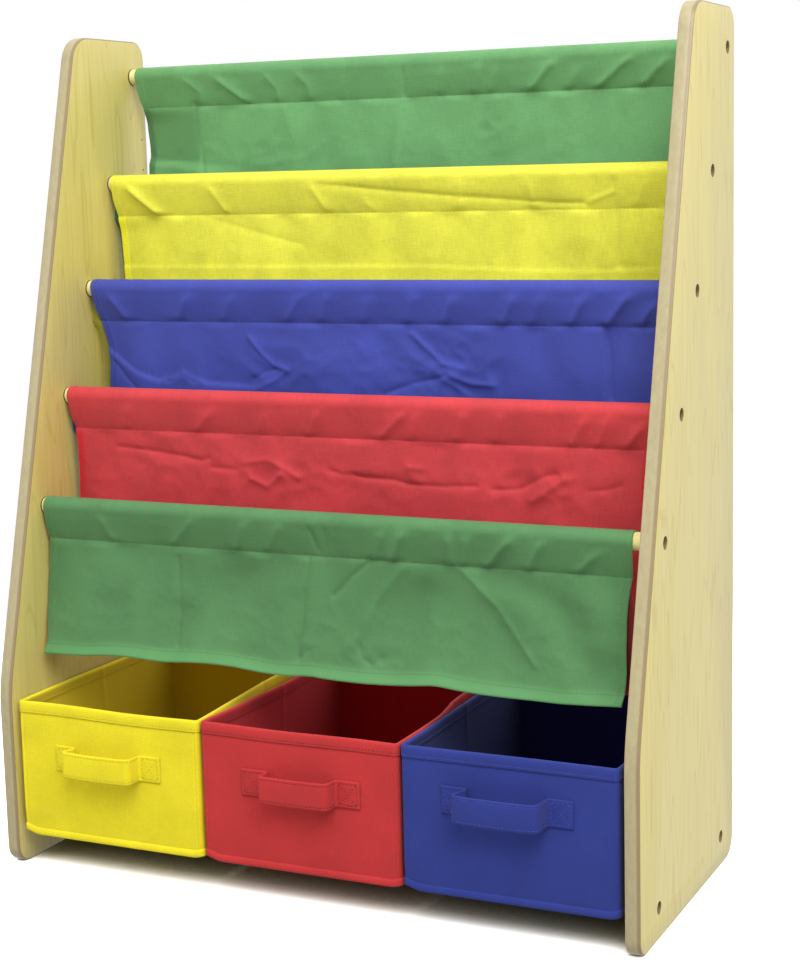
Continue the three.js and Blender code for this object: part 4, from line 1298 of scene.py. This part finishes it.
def foot_sag(grid):
    """The floor's front edge hangs a little past the front rod, less at the corners."""
    x, y, z = grid[..., 0], grid[..., 1], grid[..., 2]
    past_rod = smoothstep(ROD_FRONT_Y, -BIN_HALF.y + 4, y)
    sag = BIN_DROOP + np.zeros_like(x)
    for side, lift, reach in FOOT_LIFTS:
        sag -= lift * smoothstep(BIN_HALF.x - reach, BIN_HALF.x - 1, side * x)
    return -(1 - smoothstep(4, 60, z)) * past_rod * sag


def rim_wobble(grid, colour):
    """The rim isn't quite level."""
    seed = sum(ord(letter) for letter in colour)
    high = smoothstep(BIN_HEIGHT - 50, BIN_HEIGHT, grid[..., 2])
    return 0.7 * high * soft_noise(grid[..., 0], grid[..., 1], 130, 130, seed)


def make_side_board(colour, part, origin, material):
    """Half of a side wall's stiff board, bowed with the cloth round it."""
    side, end = part.split("_")
    sign_x = 1 if side == "right" else -1
    sign_y = 1 if end == "rear" else -1
    y = np.linspace(FOLD_GAP / 2, BIN_HALF.y - BIN_CORNER, 24) * sign_y
    z = np.linspace(BOARD_EDGE_GAP, BIN_HEIGHT - BOARD_EDGE_GAP, 12)
    if sign_x * sign_y < 0:
        y = y[::-1]
    across, up = np.meshgrid(y, z)
    x = np.full_like(across, sign_x * (BIN_HALF.x - (BOARD_OUTSET + BOARD_INSET) / 2))
    grid = bow_in(np.stack([x, across, up], 2), colour) + origin
    half = np.full(across.shape, (BOARD_INSET - BOARD_OUTSET) / 2 - 0.1)
    flat = np.stack([across, up, np.zeros_like(up)], 2)
    board, *_ = shell(f"{colour}_bin_{part}_bowed_board", grid, half, half, flat, material)
    declare(board, f"{colour}_bin", f"{colour}_bin_{part}_board")


def make_bin_stitches(colour, grid, placed, profile, materials):
    """Stitches in the rim's hem, outside and inside."""
    normals = grid_normals(grid, closed=True)
    if normals[WALL_RING, 0] @ np.array([1.0, -1.0, 0.0]) < 0:
        normals = -normals
    level = BIN_HEIGHT - BIN_HEM + BIN_STITCH_HEIGHT
    runs = []
    for number, (_, z) in enumerate(profile):
        if abs(z - level) < 0.01:
            loop = [*range(placed.shape[1]), 0]
            runs.append((placed[number, loop], normals[number, loop]))
    made = stitches(f"{colour}_bin_stitches", runs, materials[f"{colour}_bin_thread"])
    declare(made, f"{colour}_bin")


# Handles


def make_handle(colour, bin_middle, materials):
    """A sewn strap: two flat patches and the loop that stands out between them."""
    low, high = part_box(f"{colour}_bin_handle")
    strap_middle = np.array([bin_middle.x, bin_middle.y - BIN_HALF.y, (low.z + high.z) / 2 / MM])
    shape = STRAP_SHAPES[colour]
    right_half = strap_line_half(shape["reach"], *shape["right"])
    left_half = strap_line_half(shape["reach"], *shape["left"])[::-1] * np.array([-1, 1])
    line = np.concatenate([left_half, right_half])
    lengths = lengths_along(line)
    stops = spaced(lengths[-1], STRAP_STEP)
    x, y = (np.interp(stops, lengths, line[:, k]) for k in (0, 1))
    heights = spaced(STRAP_WIDTH, 2.2, close_to=[STRAP_STITCH_INSET, STRAP_WIDTH - STRAP_STITCH_INSET])[::-1]
    plain = np.zeros((len(heights), len(stops)))
    across = heights[:, None] - STRAP_WIDTH / 2
    standing = smoothstep(STRAP_GAP + 2, shape["reach"], -y)
    sag = standing * (0.4 - 0.8 * np.clip(1 - (x / shape["right"][0]) ** 2, 0, 1))
    lean = STRAP_LEAN * across * standing
    cup = STRAP_CUP * standing * (2 * across / STRAP_WIDTH) ** 2
    grid = np.stack([x + plain, y + lean + cup, across + sag], 2) + strap_middle
    edge = np.minimum(heights, STRAP_WIDTH - heights)[:, None]
    groove = STRAP_GROOVE * bell(edge - STRAP_STITCH_INSET, 0.7)
    thick = STRAP_HALF_THICKNESS * (0.45 + 0.55 * smoothstep(0, 1.2, edge)) - groove + plain
    flat = np.stack([stops + plain, across + plain, STRAP_PLACE + plain], 2)
    felt = materials[f"{colour}_strap"]
    strap, face, _, normals = shell(f"{colour}_bin_strap", grid, thick, thick, flat, felt)
    declare(strap, f"{colour}_bin", f"{colour}_bin_handle")
    make_strap_stitches(colour, shape, x, heights, face, normals, materials)


def strap_line_half(reach, half_loop, patch, lean, front_radius):
    """The right half of the strap's middle line in plan, from the middle to the patch's end. The
    loop's side leans out by lean between the wall and its rounded front corner."""
    patch_y = -STRAP_GAP - STRAP_HALF_THICKNESS
    front_y = -reach + STRAP_HALF_THICKNESS
    wall_bend = (half_loop + STRAP_BEND, patch_y - STRAP_BEND)
    front_bend = (half_loop + lean - front_radius, front_y + front_radius)
    return np.concatenate([
        [(0, front_y)],
        arc_points(front_bend, front_radius, -math.pi / 2, 0, 12),
        arc_points(wall_bend, STRAP_BEND, math.pi, math.pi / 2, 10),
        [(half_loop + patch, patch_y)],
    ])


def make_strap_stitches(colour, shape, x, heights, face, normals, materials):
    """Rows along both edges of the strap, and a crossed box on each patch."""
    runs = []
    low, high = STRAP_STITCH_INSET, STRAP_WIDTH - STRAP_STITCH_INSET
    loop = (x > -shape["left"][0] - 1) & (x < shape["right"][0] + 1)
    for row in (nearest(heights, low), nearest(heights, high)):
        runs.append((face[row][loop], normals[row][loop]))
    for sign, (half_loop, patch, *_) in ((-1, shape["left"]), (1, shape["right"])):
        inner, outer = half_loop + STRAP_BEND + 1, half_loop + patch - STRAP_STITCH_INSET
        box = [(inner, low), (outer, low), (outer, high), (inner, high), (inner, low), (outer, high)]
        cross = [(outer, low), (inner, high)]
        for corners in (box, cross):
            ends = [face[nearest(heights, height), nearest(x, sign * place)] for place, height in corners]
            for start, end in zip(ends[:-1], ends[1:]):
                runs.append((np.linspace(start, end, 12), np.tile([0.0, -1.0, 0.0], (12, 1))))
    made = stitches(f"{colour}_strap_stitches", runs, materials[f"{colour}_bin_thread"])
    declare(made, f"{colour}_bin")


# Studio


def make_camera():
    """The camera as fitted to the photograph: turned left by yaw, down by pitch and round by roll."""
    camera = bpy.data.objects.new("camera", bpy.data.cameras.new("camera"))
    stance = Matrix.Translation(CAMERA_PLACE)
    for angle, axis in ((CAMERA_YAW, "Z"), (90 - CAMERA_PITCH, "X"), (CAMERA_ROLL, "Z")):
        stance = stance @ Matrix.Rotation(math.radians(angle), 4, axis)
    camera.matrix_world = stance
    camera.data.lens = CAMERA_LENS
    camera.data.sensor_width = CAMERA_SENSOR
    camera.data.shift_x, camera.data.shift_y = CAMERA_SHIFT
    bpy.context.scene.collection.objects.link(camera)
    bpy.context.scene.camera = camera


def seen_straight(tree):
    """Two shares: 1 for rays from the camera, and 1 for rays from a mirror or glass."""
    rays = wire(tree, "LightPath").socket.node.outputs
    kinds = ("Is Camera Ray", "Is Glossy Ray", "Is Transmission Ray")
    by_camera, glossy, through = (Wire(tree, rays[kind]) for kind in kinds)
    return by_camera, glossy.maths("MAXIMUM", through)


def make_world():
    """Soft light that comes mostly from above, in front of a white backdrop."""
    world = bpy.data.worlds.new("studio")
    bpy.context.scene.world = world
    world.use_nodes = True
    tree = world.node_tree
    fill = tree.nodes["Background"]
    fill.inputs["Color"].default_value = WORLD_TINT
    _, towards_back, upwards = split(wire(tree, "TexCoord", output="Generated"))
    above = ramp(upwards, 0.0, 0.8, WORLD_LOW, WORLD_HIGH)
    feed(fill.inputs["Strength"], above + ramp(towards_back, 0.1, 0.9, 0.0, WORLD_BEHIND))
    backdrop = wire(tree, "Background", {"Color": WHITE, "Strength": 1.0})
    by_camera, mirrored = seen_straight(tree)
    seen = by_camera.maths("MAXIMUM", mirrored)
    set_surface(tree, "World Output", mix_shaders(seen, Wire(tree, fill.outputs[0]), backdrop))


def make_floor():
    """A pale floor that keeps the object's shadow, deepened by a painted shadow where ambient occlusion finds
    it covered, and goes over into the white backdrop.
    """
    corners = [(x * FLOOR_REACH, y * FLOOR_REACH, 0) for x, y in ((-1, -1), (1, -1), (1, 1), (-1, 1))]
    material, shader, place = new_material("floor", 1.0, specular=0.0)
    tree = material.node_tree
    shader.inputs["Base Color"].default_value = FLOOR_BOUNCE
    # Where the floor is covered, as under the bins, its colour darkens to a painted shadow
    open_above = wire(tree, "AmbientOcclusion", {"Distance": 0.3}, "AO")
    seen_colour = blend(ramp(open_above, 0.04, 0.19), FLOOR_PAINTED_SHADOW, FLOOR_SEEN)
    near = wire(tree, "BsdfDiffuse", {"Color": seen_colour})
    white = wire(tree, "Emission", {"Color": WHITE, "Strength": 1.0})
    distance = wire(tree, "VectorMath", {0: place}, "Value", operation="LENGTH")
    shown = mix_shaders(ramp(distance, 0.7, 1.2), near, white)
    by_camera, mirrored = seen_straight(tree)
    bounced = mix_shaders(mirrored, Wire(tree, shader.outputs[0]), white)
    set_surface(tree, "Material Output", mix_shaders(by_camera, bounced, shown))
    floor = add_mesh("floor", corners, [[0, 1, 2, 3]], material, smooth=False)


def make_lights():
    """Square lamps that look at the rack: a large one from the upper right, a faint one from the left."""
    for name, (place, size, power) in LIGHTS.items():
        lamp = bpy.data.lights.new(name, "AREA")
        lamp.shape = "SQUARE"
        lamp.size = size
        lamp.energy = power
        light = bpy.data.objects.new(name, lamp)
        light.location = place
        light.rotation_euler = (Vector(LIGHT_TARGET) - Vector(place)).to_track_quat("-Z", "Y").to_euler()
        bpy.context.scene.collection.objects.link(light)


PANEL_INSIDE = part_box("right_side_panel")[0].x / MM
BIN_LOW, BIN_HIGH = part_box("red_bin_cover")
BIN_HALF = (BIN_HIGH - BIN_LOW) / 2 / MM
BIN_HEIGHT = (BIN_HIGH.z - BIN_LOW.z) / MM
ROD_FRONT_Y = box_middle("bottom_rod_front").y - DROOP_START - box_middle("red_bin_cover").y

bpy.context.scene.view_settings.view_transform = "Standard"
make_camera()
made_of = {"board": cardboard_material()}
for tint, (shade, hem_shade, light_share, thread_share) in CLOTHS.items():
    made_of[tint] = cloth_material(f"{tint}_cloth", shade, hem_shade, light_share)
    made_of[f"{tint}_thread"] = thread_material(f"{tint}_thread", shade, thread_share)
# A bin's lining tint is the painted shade inside it
for tint, (shade, lining, thread_share) in BINS.items():
    made_of[f"{tint}_bin"] = felt_material(f"{tint}_bin_felt", shade, lining)
    made_of[f"{tint}_strap"] = felt_material(f"{tint}_strap_felt", toned(STRAP_TONE, shade), lining)
    made_of[f"{tint}_bin_thread"] = thread_material(f"{tint}_bin_thread", shade, thread_share)

dress_rigid_pieces()
for number, tint in enumerate(("green", "yellow", "blue", "red")):
    make_cloth(number, tint, f"sling_{tint}", f"{tint}_sling_cloth", made_of)
make_cloth(4, "skirt", "front_skirt", "front_skirt_cloth", made_of)
for tint in BINS:
    make_bin(tint, made_of)
make_floor()
make_world()
make_lights()
